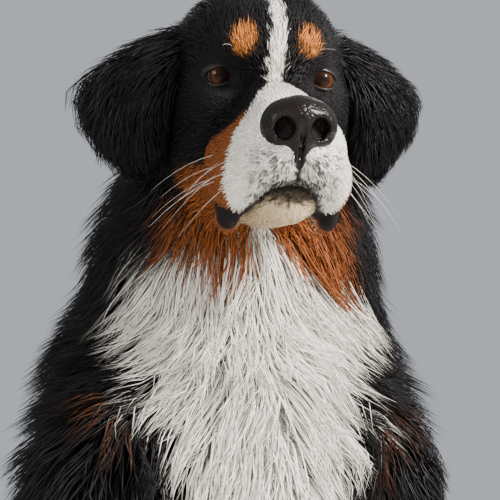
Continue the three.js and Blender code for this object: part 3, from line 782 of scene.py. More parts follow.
@dataclass
class Skin:
    """The dog's skin with what the coat needs to know at each point."""

    anatomy: Anatomy
    markings: Markings
    surface: Surface = field(init=False)
    normals: np.ndarray = field(init=False)
    region: np.ndarray = field(init=False)
    lie: np.ndarray = field(init=False)
    rule: np.ndarray = field(init=False)

    def __post_init__(self) -> None:
        """Nets the dog's surface and finds the region, lie and rule of the coat on it."""
        whole = self.anatomy.whole()
        body = Net(whole, *BODY_BOX, BODY_STEP).surface()
        body.points, body.faces = self._finer_ends(body.points, body.faces, whole)
        ears = [
            Net(self.anatomy.parts[f"ear_{side}"], *EAR_BOX, EAR_STEP).surface()
            for side in ("left", "right")
        ]
        self.surface = self._with_ears(body, ears)
        points = self.surface.points
        points[:, 2] = np.maximum(points[:, 2], FLOOR_GAP)
        self.normals = normals_of(points, self.surface.faces)
        self.region = self._regions(points)
        self.lie = self._lies()
        self.rule = self._rules()
        self.surface.colors = self.markings.colors(points, self.region)

    @staticmethod
    def _finer_ends(points: np.ndarray, quads: np.ndarray, whole: Field) -> tuple[np.ndarray, np.ndarray]:
        """Splits the quads of the head and the paws in four and moves them onto the field."""
        f, _, u = head_places(points)
        x, y, z = points.T
        paws = (z < 70) & ((y < -64) | (y > 60) & (y < 150) & (np.abs(x) > 84))
        near = (f > -62) & (u > -122) | paws
        chosen = near[quads].all(axis=1)
        edges: dict[tuple[int, int], int] = {}
        new_points = list(points)

        def middle(a: int, b: int) -> int:
            """The number of the point half-way along an edge."""
            key = (a, b) if a < b else (b, a)
            if key not in edges:
                edges[key] = len(new_points)
                new_points.append((points[a] + points[b]) / 2)
            return edges[key]

        out = []
        for a, b, c, d in quads[chosen].tolist():
            ab, bc, cd, da = middle(a, b), middle(b, c), middle(c, d), middle(d, a)
            m = len(new_points)
            new_points.append((points[a] + points[b] + points[c] + points[d]) / 4)
            out += [(a, ab, m, da), (ab, b, bc, m), (m, bc, c, cd), (da, m, cd, d)]
        moved = np.array(new_points)
        inner = np.unique(np.array(out))
        part = moved[inner]
        for _ in range(2):
            part = part - whole(part)[:, None] * gradient(whole, part, 0.5)
        moved[inner] = part
        return moved, np.concatenate([quads[~chosen], np.array(out)])

    @staticmethod
    def _with_ears(body: Surface, ears: Sequence[Surface]) -> Surface:
        """The body and the ears as one mesh."""
        points, faces = [body.points], [body.faces]
        start = len(body.points)
        for ear in ears:
            points.append(ear.points)
            faces.append(ear.faces + start)
            start += len(ear.points)
        return Surface(np.concatenate(points), np.concatenate(faces))

    def _regions(self, p: np.ndarray) -> np.ndarray:
        """The number of the region whose mass is nearest to each point."""
        best = np.full(len(p), 1e9)
        region = np.zeros(len(p), int)
        for name, part in self.anatomy.parts.items():
            d = part(p)
            closer = d < best
            best[closer] = d[closer]
            region[closer] = self.anatomy.regions[name].value
        return region

    def _lies(self) -> np.ndarray:
        """The way that the hair points at each place on the skin."""
        p = self.surface.points
        f, l, u = head_places(p)
        x, y, z = p.T
        forward, upward = head_way(1, 0, 0), head_way(0, 0, 1)
        sideward = np.sign(l)[:, None] * np.array([1.0, 0, 0])
        face = sideward * 0.35 - forward - upward * (0.35 * smooth_step(-u, -10, 40))[:, None]
        rising = (1 - smooth_step(np.abs(l), 30, 60)) * smooth_step(u, -42, -12) * smooth_step(f, -40, -10)
        face = face + upward * (1.1 * rising)[:, None] - sideward * (0.33 * rising)[:, None]
        flare = sideward * (0.62 * smooth_step(u, -42, 12) - 0.1)[:, None]
        spread = np.stack([x * 0.005, 0.25 + 0.5 * smooth_step(y, -90, 20), -np.ones(len(p))], 1)
        middle = np.stack(TAIL)
        nearest = np.argmin(np.linalg.norm(p[:, None] - middle, axis=2), axis=1)
        foreleg = np.where((z < 60)[:, None], np.array([0, -1.0, -0.3]), np.array([0, 0.25, -1.0]))
        ways = {
            Region.HEAD: face,
            Region.EARS: flare - upward * 0.9 - forward * 0.2,
            Region.NECK: spread,
            Region.TORSO: np.where((y < -10)[:, None], spread, np.array([0, 0.72, -0.7])),
            Region.ARMS: np.array([0, 0.35, -1.0]),
            Region.FOREARMS: foreleg,
            Region.FOREFEET: foreleg,
            Region.THIGHS: np.array([0, 0.6, -0.8]),
            Region.HIND_FEET: np.array([0, -1.0, -0.25]),
            Region.TAIL: unit(np.gradient(middle, axis=0))[nearest],
        }
        lie = np.zeros_like(p)
        for key, way in ways.items():
            on = among(self.region, key)
            lie[on] = np.broadcast_to(way, p.shape)[on]
        lie = unit(relaxed(unit(lie), self.surface.faces, 6))
        n = self.normals
        return unit(lie - n * (lie * n).sum(1, keepdims=True))

    def _rules(self) -> np.ndarray:
        """Length, height, width and spacing of the coat at each point, even across the regions' borders."""
        table = np.array([[r.length, r.height, r.width, r.spacing] for r in (COAT_RULES[k] for k in Region)])
        rule = relaxed(table[self.region], self.surface.faces, 9)
        p = self.surface.points
        f, l, u = head_places(p)
        x, y, z = p.T
        head, ears, neck, torso, fore, thighs = (
            among(self.region, key)
            for key in (Region.HEAD, Region.EARS, Region.NECK, Region.TORSO, Region.FOREARMS, Region.THIGHS)
        )
        toward_back = smooth_step(-f, 0, 70) * smooth_step(np.abs(l), 10, 50) * head
        rule += np.outer(toward_back, (20, 8, 0.5, 0.5))
        rule *= 1 - np.outer(smooth_step(f, 20, 90) * head, (0.5, 0.6, 0.2, 0))
        for s in (1, -1):
            away = np.linalg.norm(p - in_head(8, 38 * s, 0), axis=1)
            rule *= 1 - np.outer(1 - smooth_step(away, 14, 34), (0.7, 0.75, 0.35, 0))
        throat = smooth_step(z, 672, 722) * smooth_step(-y, 50, 90) * neck
        rule -= np.outer(throat, (36, 17, 0.7, 0.6))
        rule -= np.outer(smooth_step(-y, 20, 70) * neck, (0, 0, 0.3, 0.5))
        low = (1 - smooth_step(z, 20, 120)) * thighs
        rule *= 1 - np.outer(low, (0.6, 0.6, 0, 0))
        full = smooth_step(-x, 40, 90) * smooth_step(z, 380, 470) * (1 - smooth_step(z, 600, 760))
        rule += np.outer(full, (0, 20, 0, 0))
        bust = smooth_step(-y, -20, 60) * smooth_step(z, 400, 480) * torso
        rule -= np.outer(bust, (0, 0, 1.2, 1.8))
        spread = smooth_step(-x, 84, 112) * smooth_step(u, -46, -14) * ears
        rule += np.outer(spread, (20, 9, 0, 0))
        feather = fore * smooth_step(y, -20, 14) * smooth_step(z, 120, 180)
        rule += np.outer(feather, (44, 26, 0, 0))
        return rule


def charts(p: np.ndarray, region: np.ndarray, regions: Sequence[Region]) -> np.ndarray:
    """Places on an unwrap of the skin, rolled off each region's own long axis.

    Args:
        p: Places on the skin of one side of the body.
        region: The region's number for each place.
        regions: The regions that share the map, side by side.

    Returns:
        One pair of map coordinates for each place.
    """
    f, l, u = head_places(p)
    x, y, z = p.T
    side = np.abs(x)
    views = {
        Region.HEAD: (np.abs(l), u + 30, f),
        Region.EARS: (y + 130, side - 90, z),
        Region.NECK: (side, y + 40, z),
        Region.TORSO: (side, (y - 130) * 0.73 + (z - 360) * 0.68, y - z),
        Region.ARMS: (side - 92, y, z),
        Region.FOREARMS: (side - 95, y + 10, z),
        Region.FOREFEET: (side - 95, z - 40, y),
        Region.THIGHS: (side - 118, z - 150, y),
        Region.HIND_FEET: (side - 130, z - 30, y),
        Region.TAIL: (y - 500, z - 40, x),
    }
    uv = np.zeros((len(p), 2))
    for number, key in enumerate(regions):
        on = region == key.value
        if not on.any():
            continue
        across, over, along = (values[on] for values in views[key])
        pair = np.stack([np.arctan2(over, across), along], 1)
        low, high = pair.min(axis=0), pair.max(axis=0)
        uv[on] = 0.02 + 0.95 * (pair - low) / np.maximum(high - low, 1e-6)
        uv[on, 0] = (number + uv[on, 0]) / len(regions)
    return uv


@dataclass(frozen=True)
class CoatPlan:
    """A part of the coat and the make of its tufts.

    The stations are shares of a tuft's length, each with a width, and the hug says how firmly
    the tufts are drawn back to the skin where they stand off it.
    """

    name: str
    regions: tuple[Region, ...]
    stations: tuple[float, ...] = (0.0, 0.34, 0.7, 1.0)
    widths: tuple[float, ...] = (0.7, 1.0, 0.72, 0.0)
    hug: float = 0.75

    @classmethod
    def short(cls, name: str, *regions: Region) -> "CoatPlan":
        """A part of the coat whose tufts are short and have fewer sections."""
        return cls(name, regions, (0.0, 0.5, 1.0), (0.8, 1.0, 0.0))


CLUMP = 14  # tufts that share a tip, on average


@dataclass
class Coat:
    """Solid tufts rooted in the skin, that follow its lie and gather in clumps."""

    skin: Skin
    placing: Placing
    tree: KDTree = field(init=False)
    random: np.random.Generator = field(default_factory=lambda: np.random.default_rng(SEED))

    def __post_init__(self) -> None:
        """Plants the skin's points in a tree, for the nearest of them to any place."""
        pts = self.skin.surface.points
        self.tree = KDTree(len(pts))
        for i, p in enumerate(pts.tolist()):
            self.tree.insert(p, i)
        self.tree.balance()

    def _roots(self, regions: Sequence[Region], side: int) -> tuple[np.ndarray, np.ndarray]:
        """Random places on one side of the chosen regions, closer where the coat is finer.

        Args:
            regions: Where the roots lie.
            side: 1 for the dog's left, -1 for its right.

        Returns:
            The places and the index of a skin point beside each.
        """
        surface, rule = self.skin.surface, self.skin.rule
        first = surface.faces[:, 0]
        on_side = surface.points[first, 0] * side >= 0
        quads = surface.faces[among(self.skin.region[first], *regions) & on_side]
        a, b, c, d = (surface.points[quads[:, i]] for i in range(4))
        halves = np.cross(b - a, c - a), np.cross(c - a, d - a)
        doubled = np.linalg.norm(halves[0], axis=1) + np.linalg.norm(halves[1], axis=1)
        expected = doubled / 2 / rule[quads[:, 0], 3] ** 2
        count = np.floor(expected + self.random.random(len(quads))).astype(int)
        pick = np.repeat(np.arange(len(quads)), count)
        s, t = self.random.random((2, len(pick), 1))
        top = a[pick] * (1 - s) + b[pick] * s
        low = d[pick] * (1 - s) + c[pick] * s
        nearest = np.array([[0, 1], [3, 2]])[(t[:, 0] >= 0.5).astype(int), (s[:, 0] >= 0.5).astype(int)]
        return top * (1 - t) + low * t, quads[pick, nearest]

    def _nearest(self, p: np.ndarray) -> np.ndarray:
        """Index of the skin point nearest to each place."""
        find = self.tree.find
        return np.array([find(q)[1] for q in p.tolist()])

    def piece(self, plan: CoatPlan, side: int, material: bpy.types.Material) -> bpy.types.Object:
        """The coat of some regions on one side as one object.

        Args:
            plan: The part of the coat.
            side: 1 for the dog's left, -1 for its right.
            material: The finish of the hair.

        Returns:
            The object.
        """
        name = f"{plan.name}_{'left' if side > 0 else 'right'}"
        roots, corner = self._roots(plan.regions, side)
        keep = self._covered(roots)
        roots, corner = roots[keep], corner[keep]
        length, height, width, _ = self.skin.rule[corner].T
        n = len(roots)
        vary = self.random.random((5, n))
        length = length * (0.7 + 0.5 * vary[0])
        height = height * (0.45 + 0.6 * vary[1] ** 0.7)
        paths, facings = self._paths(plan, roots, corner, length, height, vary[4])
        self._gather(plan, paths, roots, length)
        tufts = self._mesh(plan, paths, facings, width * (0.75 + 0.5 * vary[2]))
        region = self.skin.region[corner]
        tint = self.skin.markings.colors(roots + self.random.normal(0, 1.2, roots.shape), region)
        tint = tint * (0.78 + 0.44 * vary[3])[:, None]
        tufts.colors = np.repeat(tint, len(tufts.points) // n, axis=0)
        along = np.append(np.repeat(plan.stations[:-1], 3), 1.0)
        across = np.append(np.tile([0, 0.5, 1], len(plan.stations) - 1), 0.5)
        tufts.floats["along"] = np.tile(along, n)
        place = charts(roots, region, plan.regions)
        patch = np.stack([across, along], 1) * UV_PATCH
        tufts.uv = (place[:, None] + patch[None]).reshape(-1, 2)
        LOG.info("%s: %d tufts, %d triangles", name, n, len(tufts.faces))
        return tufts.piece(name, self.placing, material)

    def _covered(self, roots: np.ndarray) -> np.ndarray:
        """Which roots are off the eyes, the nose, the mouth's edges and the soles."""
        f, l, u = head_places(roots)
        eyes = (oval((np.abs(l), u), EYE_PLACE[1:], (13.5, 8.5)) > 0) & (f > -10)
        nose = np.linalg.norm((roots - in_head(112, 0, -30)) / np.array([26, 25, 17.5]), axis=1) < 1
        lips = (self.skin.markings.lip(roots) > 0.45) & (f > 20) & (roots[:, 2] < 760)
        split = (np.abs(l) < 3.2) & (f > 100) & (u < -42) & (u > -70)
        soles = roots[:, 2] <= 3
        return ~(eyes | nose | lips | split | soles)

    def _paths(
        self,
        plan: CoatPlan,
        roots: np.ndarray,
        corner: np.ndarray,
        length: np.ndarray,
        height: np.ndarray,
        turn: np.ndarray,
    ) -> tuple[np.ndarray, np.ndarray]:
        """Marches every tuft over the skin along the lie of the coat.

        Args:
            plan: The make of the tufts.
            roots: Where the tufts start.
            corner: Index of a skin point beside each root.
            length: Length of each tuft.
            height: How far each tip stands off the skin.
            turn: A random share that bends each tuft to one side or the other.

        Returns:
            Points and facings of every tuft at its stations.
        """
        skin = self.skin
        p, index, before = roots.copy(), corner, 0.0
        paths, facings = [], []
        loose = smooth_step(length, 24, 60)[:, None]
        swing = (turn - 0.5)[:, None] * 0.8 * (1 + 0.45 * loose)
        drift = 0.25 * ripple(roots, 30, 4.0)[:, None]
        for station in plan.stations:
            normal = skin.normals[index]
            wave = swing * (1.5 - 2.6 * station) + drift + 0.42 * loose * ripple(p, 17, 9.0)[:, None]
            lie = unit(skin.lie[index] + np.cross(skin.lie[index], normal) * wave)
            p = p + lie * (length * (station - before))[:, None]
            if station > 0:
                index = self._nearest(p)
                normal = skin.normals[index]
                off = ((p - skin.surface.points[index]) * normal).sum(1)
                lack = height * station**0.85 - off
                p = p + normal * np.where(lack > 0, lack, lack * plan.hug)[:, None]
            else:
                p = p - normal * np.minimum(2.5, 0.1 * length)[:, None]
            p[:, 2] = np.maximum(p[:, 2], TUFT_GAP)
            before = station
            paths.append(p.copy())
            facings.append(normal)
        return np.stack(paths, 1), np.stack(facings, 1)

    def _gather(self, plan: CoatPlan, paths: np.ndarray, roots: np.ndarray, length: np.ndarray) -> None:
        """Draws the tips of neighbouring tufts together."""
        n = len(roots)
        chosen = self.random.choice(n, max(1, n // CLUMP), replace=False)
        tree = KDTree(len(chosen))
        for i, p in enumerate(roots[chosen].tolist()):
            tree.insert(p, i)
        tree.balance()
        leader = chosen[np.array([tree.find(q)[1] for q in roots.tolist()])]
        hold = 0.55 * smooth_step(length, 20, 60)
        for k, station in enumerate(plan.stations):
            pull = (hold * station**1.4)[:, None]
            paths[:, k] = paths[:, k] * (1 - pull) + paths[leader, k] * pull

    @staticmethod
    def _mesh(plan: CoatPlan, paths: np.ndarray, facings: np.ndarray, width: np.ndarray) -> Surface:
        """Three-cornered tapered bodies along the paths."""
        n, stations = paths.shape[:2]
        rings = []
        for k in range(stations - 1):
            run = unit(paths[:, k + 1] - paths[:, k])
            across = unit(np.cross(run, facings[:, k]))
            over = np.cross(across, run)
            half = (width * plan.widths[k] / 2)[:, None]
            base = paths[:, k]
            rings += [base + across * half, base + over * half * 0.7, base - across * half]
        points = np.stack([*rings, paths[:, -1]], 1)
        per, tip = points.shape[1], 3 * (stations - 1)
        faces = [(0, 1, 2)]
        for low in range(0, tip - 3, 3):
            for a, b in ((low, low + 1), (low + 1, low + 2), (low + 2, low)):
                faces += [(a, a + 3, b), (b, a + 3, b + 3)]
        faces += [(tip - 3, tip, tip - 2), (tip - 2, tip, tip - 1), (tip - 1, tip, tip - 3)]
        all_faces = (np.array(faces)[None] + (np.arange(n) * per)[:, None, None]).reshape(-1, 3)
        points = points.reshape(-1, 3)
        points[:, 2] = np.maximum(points[:, 2], FLOOR_GAP)
        return Surface(points, all_faces)


@dataclass(frozen=True)
class Finish:
    """Settings of one surface."""

    roughness: float
    specular: float = 0.5
    coat: float = 0.0
    coat_roughness: float = 0.08


# colours of the eye from the middle of the pupil outwards, each with its share of the way
EYE_RINGS = (
    (0.0, (0.001, 0.001, 0.001)),
    (0.33, (0.020, 0.006, 0.002)),
    (0.52, (0.068, 0.022, 0.006)),
    (0.62, (0.018, 0.006, 0.002)),
    (0.68, (0.005, 0.003, 0.002)),
    (0.7999, (0.06, 0.042, 0.036)),
    (0.80, (0.001, 0.001, 0.001)),
)


@dataclass
class Paint:
    """The materials."""

    made: dict[str, bpy.types.Material] = field(default_factory=dict)

    def _base(self, name: str, finish: Finish) -> tuple[bpy.types.Material, bpy.types.Node]:
        """A new material with a finish, and its shader."""
        material = bpy.data.materials.new(name)
        material.use_nodes = True
        shader = material.node_tree.nodes["Principled BSDF"]
        shader.inputs["Roughness"].default_value = finish.roughness
        shader.inputs["Specular IOR Level"].default_value = finish.specular
        shader.inputs["Coat Weight"].default_value = finish.coat
        shader.inputs["Coat Roughness"].default_value = finish.coat_roughness
        self.made[name] = material
        return material, shader

    @staticmethod
    def _attribute(material: bpy.types.Material, name: str) -> bpy.types.Node:
        """A node that reads the mesh's own values of one name."""
        node = material.node_tree.nodes.new("ShaderNodeAttribute")
        node.attribute_name = name
        return node

    @staticmethod
    def _relief(
        material: bpy.types.Material, texture: str, settings: dict[str, float], strength: float, depth: float
    ) -> bpy.types.Node:
        """A bump from a pattern on the piece's own coordinates.

        Args:
            material: Where the nodes go.
            texture: Type of the pattern's node, whose first output is the height.
            settings: Values of the pattern's inputs.
            strength: Strength of the bump.
            depth: Depth of the bump in metres.

        Returns:
            The bump node.
        """
        nodes, links = material.node_tree.nodes, material.node_tree.links
        where = nodes.new("ShaderNodeTexCoord")
        pattern = nodes.new(texture)
        for name, value in settings.items():
            pattern.inputs[name].default_value = value
        relief = nodes.new("ShaderNodeBump")
        relief.inputs["Strength"].default_value = strength
        relief.inputs["Distance"].default_value = depth
        links.new(where.outputs["Object"], pattern.inputs["Vector"])
        links.new(pattern.outputs[0], relief.inputs["Height"])
        links.new(relief.outputs["Normal"], nodes["Principled BSDF"].inputs["Normal"])
        return relief

    def hair(self) -> bpy.types.Material:
        """Coat: the tint of each tuft, with painted shade darkening it towards its root and a slight painted
        brightening at its tip.
        """
        material, shader = self._base("coat_hair", Finish(0.5, 0.2))
        nodes, links = material.node_tree.nodes, material.node_tree.links
        # painted shade and light along each tuft: the tint is dimmed to 0.78 at the root and raised to 1.08
        # towards the tip, standing in for the coat's shadow on itself
        shade = nodes.new("ShaderNodeMapRange")
        for name, value in {"From Min": 0.0, "From Max": 0.7, "To Min": 0.78, "To Max": 1.08}.items():
            shade.inputs[name].default_value = value
        scale = nodes.new("ShaderNodeVectorMath")
        scale.operation = "SCALE"
        links.new(self._attribute(material, "along").outputs["Fac"], shade.inputs["Value"])
        links.new(self._attribute(material, "tint").outputs["Color"], scale.inputs[0])
        links.new(shade.outputs["Result"], scale.inputs["Scale"])
        links.new(scale.outputs["Vector"], shader.inputs["Base Color"])
        return material

    def skin(self) -> bpy.types.Material:
        """Short fur on the skin: the markings' tint with a fine grain."""
        material, shader = self._base("short_fur", Finish(0.75, 0.12))
        self._relief(material, "ShaderNodeTexNoise", {"Scale": 420.0, "Detail": 3.0}, 0.5, 0.001)
        tint = self._attribute(material, "tint")
        material.node_tree.links.new(tint.outputs["Color"], shader.inputs["Base Color"])
        return material

    def leather(self) -> bpy.types.Material:
        """Nose leather: dark, moist and finely pebbled."""
        material = self.plain("nose_leather", (0.0065, 0.0042, 0.004), Finish(0.36, 0.16, coat=0.1))
        self._relief(material, "ShaderNodeTexVoronoi", {"Scale": 480.0}, 0.8, 0.0007).invert = True
        return material

    def eye(self) -> bpy.types.Material:
        """Eye: pupil, brown iris and dark rim, by the angle from the gaze."""
        material, shader = self._base("eye", Finish(0.6, 0.05, coat=0.4, coat_roughness=0.02))
        shader.inputs["Coat IOR"].default_value = 1.33
        nodes, links = material.node_tree.nodes, material.node_tree.links
        ramp = nodes.new("ShaderNodeValToRGB")
        elements = ramp.color_ramp.elements
        elements[1].position = EYE_RINGS[1][0]
        for element, (_, color) in zip(elements, EYE_RINGS, strict=False):
            element.color = (*color, 1)
        for place, color in EYE_RINGS[2:]:
            elements.new(place).color = (*color, 1)
        links.new(self._attribute(material, "polar").outputs["Fac"], ramp.inputs["Fac"])
        links.new(ramp.outputs["Color"], shader.inputs["Base Color"])
        return material

    def plain(self, name: str, color: tuple[float, float, float], finish: Finish) -> bpy.types.Material:
        """A surface of one colour."""
        material, shader = self._base(name, finish)
        shader.inputs["Base Color"].default_value = (*color, 1)
        return material


def tube_faces(rings: int, sides: int) -> np.ndarray:
    """Quads between neighbouring rings of points, each ring closed on itself."""
    ring, place = np.divmod(np.arange((rings - 1) * sides), sides)
    this, after = ring * sides + place, ring * sides + (place + 1) % sides
    return np.stack([this, after, after + sides, this + sides], 1)


@dataclass
class Face:
    """Eyes, lids, nose leather and whiskers.

    The gaze is a direction along the head's own. The opening is half the width of the eye's almond
    and its heights above and below the middle. Each lid ring is a share of the opening, a radius
    round the eye's middle and how far it has sunk into the skin.
    """

    anatomy: Anatomy
    placing: Placing
    paint: Paint

    gaze: tuple[float, float, float] = (1.0, 0.06, 0.10)
    ball_rings: int = 41
    ball_sides: int = 48
    cornea: float = 0.06  # how far it bulges, in eye radii
    rim_angle: float = 1.25  # from the gaze to the end of the eye's colours
    opening: tuple[float, float, float] = (11.6, 6.6, 5.8)
    lid_sides: int = 56
    lid_rings: tuple[tuple[float, float, float], ...] = (
        (0.97, 12.05, 0),
        (1.0, 13.0, 0),
        (1.12, 13.7, 0),
        (1.34, 13.9, 0.25),
        (1.7, 13.0, 1),
    )
    nose_box: tuple[np.ndarray, np.ndarray] = (point(-36, -336, 698), point(36, -258, 774))
    nose_step: float = 1.2
    hair_radius: float = 0.13

    def build(self) -> None:
        """Makes every piece of the face."""
        eye_finish = self.paint.eye()
        rim = self.paint.plain("lid_rim", (0.010, 0.007, 0.007), Finish(0.5, 0.25, coat=0.1))
        for s, side in ((1, "left"), (-1, "right")):
            ball = self._ball(s).piece(f"eyeball_{side}", self.placing, eye_finish)
            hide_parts(f"eye_{side}")
            self._lids(s).piece(f"lids_{side}", self.placing, rim)
        nose = self._nose().piece("nose_pad", self.placing, self.paint.leather())
        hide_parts("nose")
        hair = self.paint.plain("whisker", (0.75, 0.72, 0.68), Finish(0.4))
        self._whiskers().piece("whiskers", self.placing, hair)

    @staticmethod
    def _eye(s: int) -> np.ndarray:
        """Middle of the eyeball on one side."""
        return in_head(EYE_PLACE[0], EYE_PLACE[1] * s, EYE_PLACE[2])

    def _ball(self, s: int) -> Surface:
        """An eyeball with its cornea, that knows each point's angle from the gaze."""
        gaze = unit(head_way(*self.gaze))
        right = unit(np.cross(gaze, [0, 0, 1]))
        up = np.cross(right, gaze)
        points, polar = [], []
        for angle in np.linspace(0, math.pi, self.ball_rings).tolist():
            radius = 0.995 * EYE_RADIUS * (1 + self.cornea * max(0.0, math.cos(angle)) ** 8)
            for turn in (np.arange(self.ball_sides) * 2 * math.pi / self.ball_sides).tolist():
                aside = right * math.cos(turn) + up * math.sin(turn)
                points.append(self._eye(s) + (gaze * math.cos(angle) + aside * math.sin(angle)) * radius)
                polar.append(min(angle / self.rim_angle, 1.0))
        faces = tube_faces(self.ball_rings, self.ball_sides)
        return Surface(np.array(points), faces, floats={"polar": np.array(polar)})

    def _lids(self, s: int) -> Surface:
        """A rim round the almond opening that sinks into the skin."""
        whole = self.anatomy.whole()
        forward = unit(head_way(1, 0.16 * s, 0.02))
        left = unit(np.cross([0, 0, 1], forward))
        up = np.cross(forward, left)
        width, above, below = self.opening
        a = np.arange(self.lid_sides) * 2 * math.pi / self.lid_sides
        across = width * np.cos(a)
        tall = np.where(np.sin(a) > 0, above, below) * np.sin(a) * (1 - 0.22 * np.cos(a) ** 2)
        droop = -0.09 * across * s
        rings = []
        for grow, radius, sunk in self.lid_rings:
            x = across * grow
            z = (tall + droop) * grow
            flat = self._eye(s) + x[:, None] * left + z[:, None] * up
            depth = np.sqrt(np.maximum(radius**2 - x**2 - z**2, 4.0))
            skin = flat + 30 * forward
            for _ in range(24):
                skin = skin - forward * np.maximum(whole(skin), 0.02)[:, None]
            rings.append((flat + depth[:, None] * forward) * (1 - sunk) + (skin - forward * 1.6) * sunk)
        return Surface(np.concatenate(rings), tube_faces(len(rings), self.lid_sides)[:, ::-1])

    def _nose(self) -> Surface:
        """The nose leather with open nostrils, their wings and the groove."""
        masses: list[Mass] = [Ball(in_head(112, 0, -27), (20, 19, 17))]
        hollows: list[Mass] = []
        for s in (1, -1):
            masses.append(Ball(in_head(112, 13 * s, -31), (13.5, 16.5, 16)))
            hollows.append(Ball(in_head(128, 12.5 * s, -32), (7.0, 11, 7.8)))
            hollows.append(Bone(in_head(131, 16 * s, -37), in_head(115, 31 * s, -40), 4.6, 3.6))
        masses.append(Bone(in_head(118.5, 0, -40), in_head(116.5, 0, -50), 10, 6.5))
        masses.append(Bone(in_head(120, 0, -42), in_head(119.5, 0, -67), 3.8, 1.5))
        groove = [in_head(133.5, 0, -26), in_head(124.6, 0, -44), in_head(120, 0, -62)]
        hollows += chain(groove, [1.5, 1.3, 1.2])
        return Net(blended(masses, 6, hollows, 2.6), *self.nose_box, self.nose_step, 3).surface(1)

    def _whiskers(self) -> Surface:
        """Long hairs from the lips and brows, as tapered bodies."""
        random = np.random.default_rng(SEED)
        paths = []
        for s in (1, -1):
            for row in range(3):
                for k in range(3):
                    root = in_head(84 - 14 * k, (36 + 3 * k) * s, -54 - 8 * row)
                    out, down, back = 0.8 + 0.3 * random.random(), 0.15 + 0.5 * random.random(), 0.2 + 0.3 * k
                    way = head_way(-back, out * s, -down)
                    paths.append(self._bow(root, unit(way), 38 + 34 * random.random()))
            for k in range(3):
                root = in_head(16, (20 + 5 * k) * s, 27 - 3 * k)
                way = head_way(1.1, (0.25 + 0.3 * k) * s, 0.75)
                paths.append(self._bow(root, unit(way), 20 + 12 * random.random()))
        return tapered(np.stack(paths), self.hair_radius)

    @staticmethod
    def _bow(root: np.ndarray, way: np.ndarray, length: float) -> np.ndarray:
        """A hair's path from just under the skin, that sinks towards its tip."""
        steps = np.linspace(0, 1, 7)[:, None]
        return root + way * (length * steps - 4) + np.array([0, 0, -0.36 * length]) * steps**2


def tapered(paths: np.ndarray, radius: float, sides: int = 5) -> Surface:
    """Round bodies along paths that end in a point.

    Args:
        paths: One row of points for each body.
        radius: Radius of each body at its root.
        sides: Corners of its section.

    Returns:
        All of them as one surface.
    """
    points = []
    count = paths.shape[1]
    turns = np.arange(sides)[:, None] * 2 * math.pi / sides
    for path in paths:
        for k in range(count):
            run = unit(path[min(k + 1, count - 1)] - path[max(k - 1, 0)])
            across = unit(np.cross(run, [0.13, 0.2, 0.97]))
            over = np.cross(run, across)
            r = radius * (1 - k / (count - 1)) ** 0.7 + 0.03
            points.append(path[k] + r * (across * np.cos(turns) + over * np.sin(turns)))
    faces = [tube_faces(count, sides) + k * count * sides for k in range(len(paths))]
    return Surface(np.concatenate(points), np.concatenate(faces))


@dataclass
class Claws:
    """Sixteen claws, one on each toe."""

    placing: Placing
    paint: Paint
    length: float = 19.0
    hook: float = 11.0
    radius: float = 4.6

    def build(self) -> None:
        """Makes the claws as one piece."""
        t = np.linspace(0, 1, 7)[:, None]
        bend = t * np.array([0, -self.length, 0]) + t * t * np.array([0, 0, -self.hook])
        bases = [
            tip + np.array([0, -radius * 0.55, -1.0])
            for s in (1, -1)
            for middle, radius in ((fore_toes(s), FORE_TOE), (hind_toes(s), HIND_TOE))
            for tip in toe_tips(middle, radius)
        ]
        horn = self.paint.plain("claw", (0.05, 0.035, 0.028), Finish(0.35, coat=0.2))
        tapered(np.stack([base + bend for base in bases]), self.radius, 8).piece("claws", self.placing, horn)


FLESH = (
    "jaw head ear_left ear_right neck chest hindquarters upper_arm_left upper_arm_right "
    "forearm_left forearm_right forefoot_left forefoot_right thigh_left thigh_right "
    "hind_foot_left hind_foot_right tail_root tail_tip"
).split()
COAT_PLANS = (
    CoatPlan.short("coat_head", Region.HEAD),
    CoatPlan("coat_ear", (Region.EARS,), hug=0.0),
    CoatPlan("coat_neck", (Region.NECK,)),
    CoatPlan("coat_torso", (Region.TORSO,)),
    CoatPlan("coat_arm", (Region.ARMS, Region.FOREARMS)),
    CoatPlan.short("coat_feet", Region.FOREFEET, Region.HIND_FEET),
    CoatPlan("coat_thigh", (Region.THIGHS,)),
    CoatPlan("coat_tail", (Region.TAIL,), hug=0.2),
)


@dataclass(frozen=True)
class Lamp:
    """A soft square lamp that shines on the dog's middle, in metres and watts."""

    name: str
    place: tuple[float, float, float]
    size: float
    power: float
    aim: tuple[float, float, float] = (0, 0, 0.5)
    color: tuple[float, float, float] = (1.0, 0.955, 0.88)


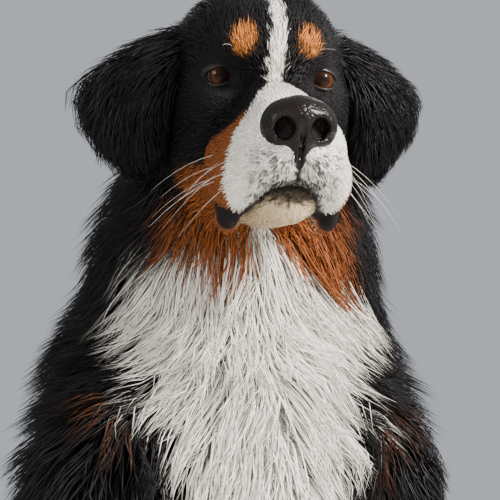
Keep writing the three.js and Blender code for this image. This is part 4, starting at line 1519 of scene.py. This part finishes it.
@dataclass
class Studio:
    """Floor, lights and the camera at the photo's angle, which stands in the dog's own millimetres."""

    placing: Placing

    camera: tuple[float, float, float] = (-204.2, -1246.4, 538.9)
    ahead: tuple[float, float] = (0.176, 0.984)
    pitch: float = math.radians(7)
    lens: float = 106.1
    sensor: float = 36.0
    floor_half: float = 9.0
    floor_color: tuple[float, float, float] = (0.62, 0.62, 0.6)
    sky_color: tuple[float, float, float] = (0.86, 0.9, 0.96)
    sky_strength: float = 0.55
    lamps: tuple[Lamp, ...] = (
        Lamp("key", (1.5, -1.7, 1.9), 0.6, 205),
        Lamp("fill", (-1.9, -1.7, 1.4), 0.9, 34),
        Lamp("rim", (0.5, 2.2, 2.2), 1.2, 32),
    )

    def build(self) -> None:
        """Makes the stage, the lights and the camera."""
        scene = bpy.context.scene
        half = self.floor_half
        mesh = bpy.data.meshes.new("floor")
        square = [(-half, -half, 0), (half, -half, 0), (half, half, 0), (-half, half, 0)]
        mesh.from_pydata(square, [], [range(4)])
        floor = bpy.data.objects.new("floor", mesh)
        scene.collection.objects.link(floor)
        mesh.materials.append(Paint().plain("floor", self.floor_color, Finish(0.9)))
        floor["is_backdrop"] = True
        world = bpy.data.worlds.new("studio")
        world.use_nodes = True
        sky = world.node_tree.nodes["Background"]
        sky.inputs["Color"].default_value = (*self.sky_color, 1)
        sky.inputs["Strength"].default_value = self.sky_strength
        scene.world = world
        for lamp in self.lamps:
            self._lamp(lamp)
        self._camera()

    def _lamp(self, lamp: Lamp) -> None:
        """Hangs up one lamp."""
        data = bpy.data.lights.new(lamp.name, "AREA")
        data.size = lamp.size
        data.energy = lamp.power
        data.color = lamp.color
        made = bpy.data.objects.new(lamp.name, data)
        made.location = lamp.place
        made.rotation_mode = "QUATERNION"
        made.rotation_quaternion = (Vector(lamp.aim) - Vector(lamp.place)).to_track_quat("-Z", "Y")
        bpy.context.scene.collection.objects.link(made)

    def _camera(self) -> None:
        """Sets the camera where the photo's stood."""
        data = bpy.data.cameras.new("photo_view")
        data.lens = self.lens
        data.sensor_width = self.sensor
        camera = bpy.data.objects.new("photo_view", data)
        camera.location = Vector(self.placing.world(np.array(self.camera)).tolist())
        level = Vector((*self.ahead, 0)).normalized()
        ahead = level * math.cos(self.pitch) + Vector((0, 0, math.sin(self.pitch)))
        camera.rotation_mode = "QUATERNION"
        camera.rotation_quaternion = ahead.to_track_quat("-Z", "Y")
        bpy.context.scene.collection.objects.link(camera)
        bpy.context.scene.camera = camera


def corners() -> list[list[float]]:
    """The shown object's box as plain lists."""
    return [list(c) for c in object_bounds()]


def main() -> None:
    """Builds the dog over the frame and sets the stage."""
    logging.basicConfig(level=logging.INFO, format="%(message)s")
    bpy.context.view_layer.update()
    placing = Placing.from_frame()
    LOG.info("shift %s", placing.shift.round(4).tolist())
    anatomy = Anatomy()
    markings = Markings(anatomy)
    skin = Skin(anatomy, markings)
    LOG.info("skin: %d quads", len(skin.surface.faces))
    paint = Paint()
    body = skin.surface.piece("skin", placing, paint.skin())
    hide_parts(*FLESH)
    coat = Coat(skin, placing)
    hair = paint.hair()
    for plan in COAT_PLANS:
        for side in (1, -1):
            coat.piece(plan, side, hair)
    Face(anatomy, placing, paint).build()
    Claws(placing, paint).build()
    Studio(placing).build()


if __name__ == "__main__":
    main()
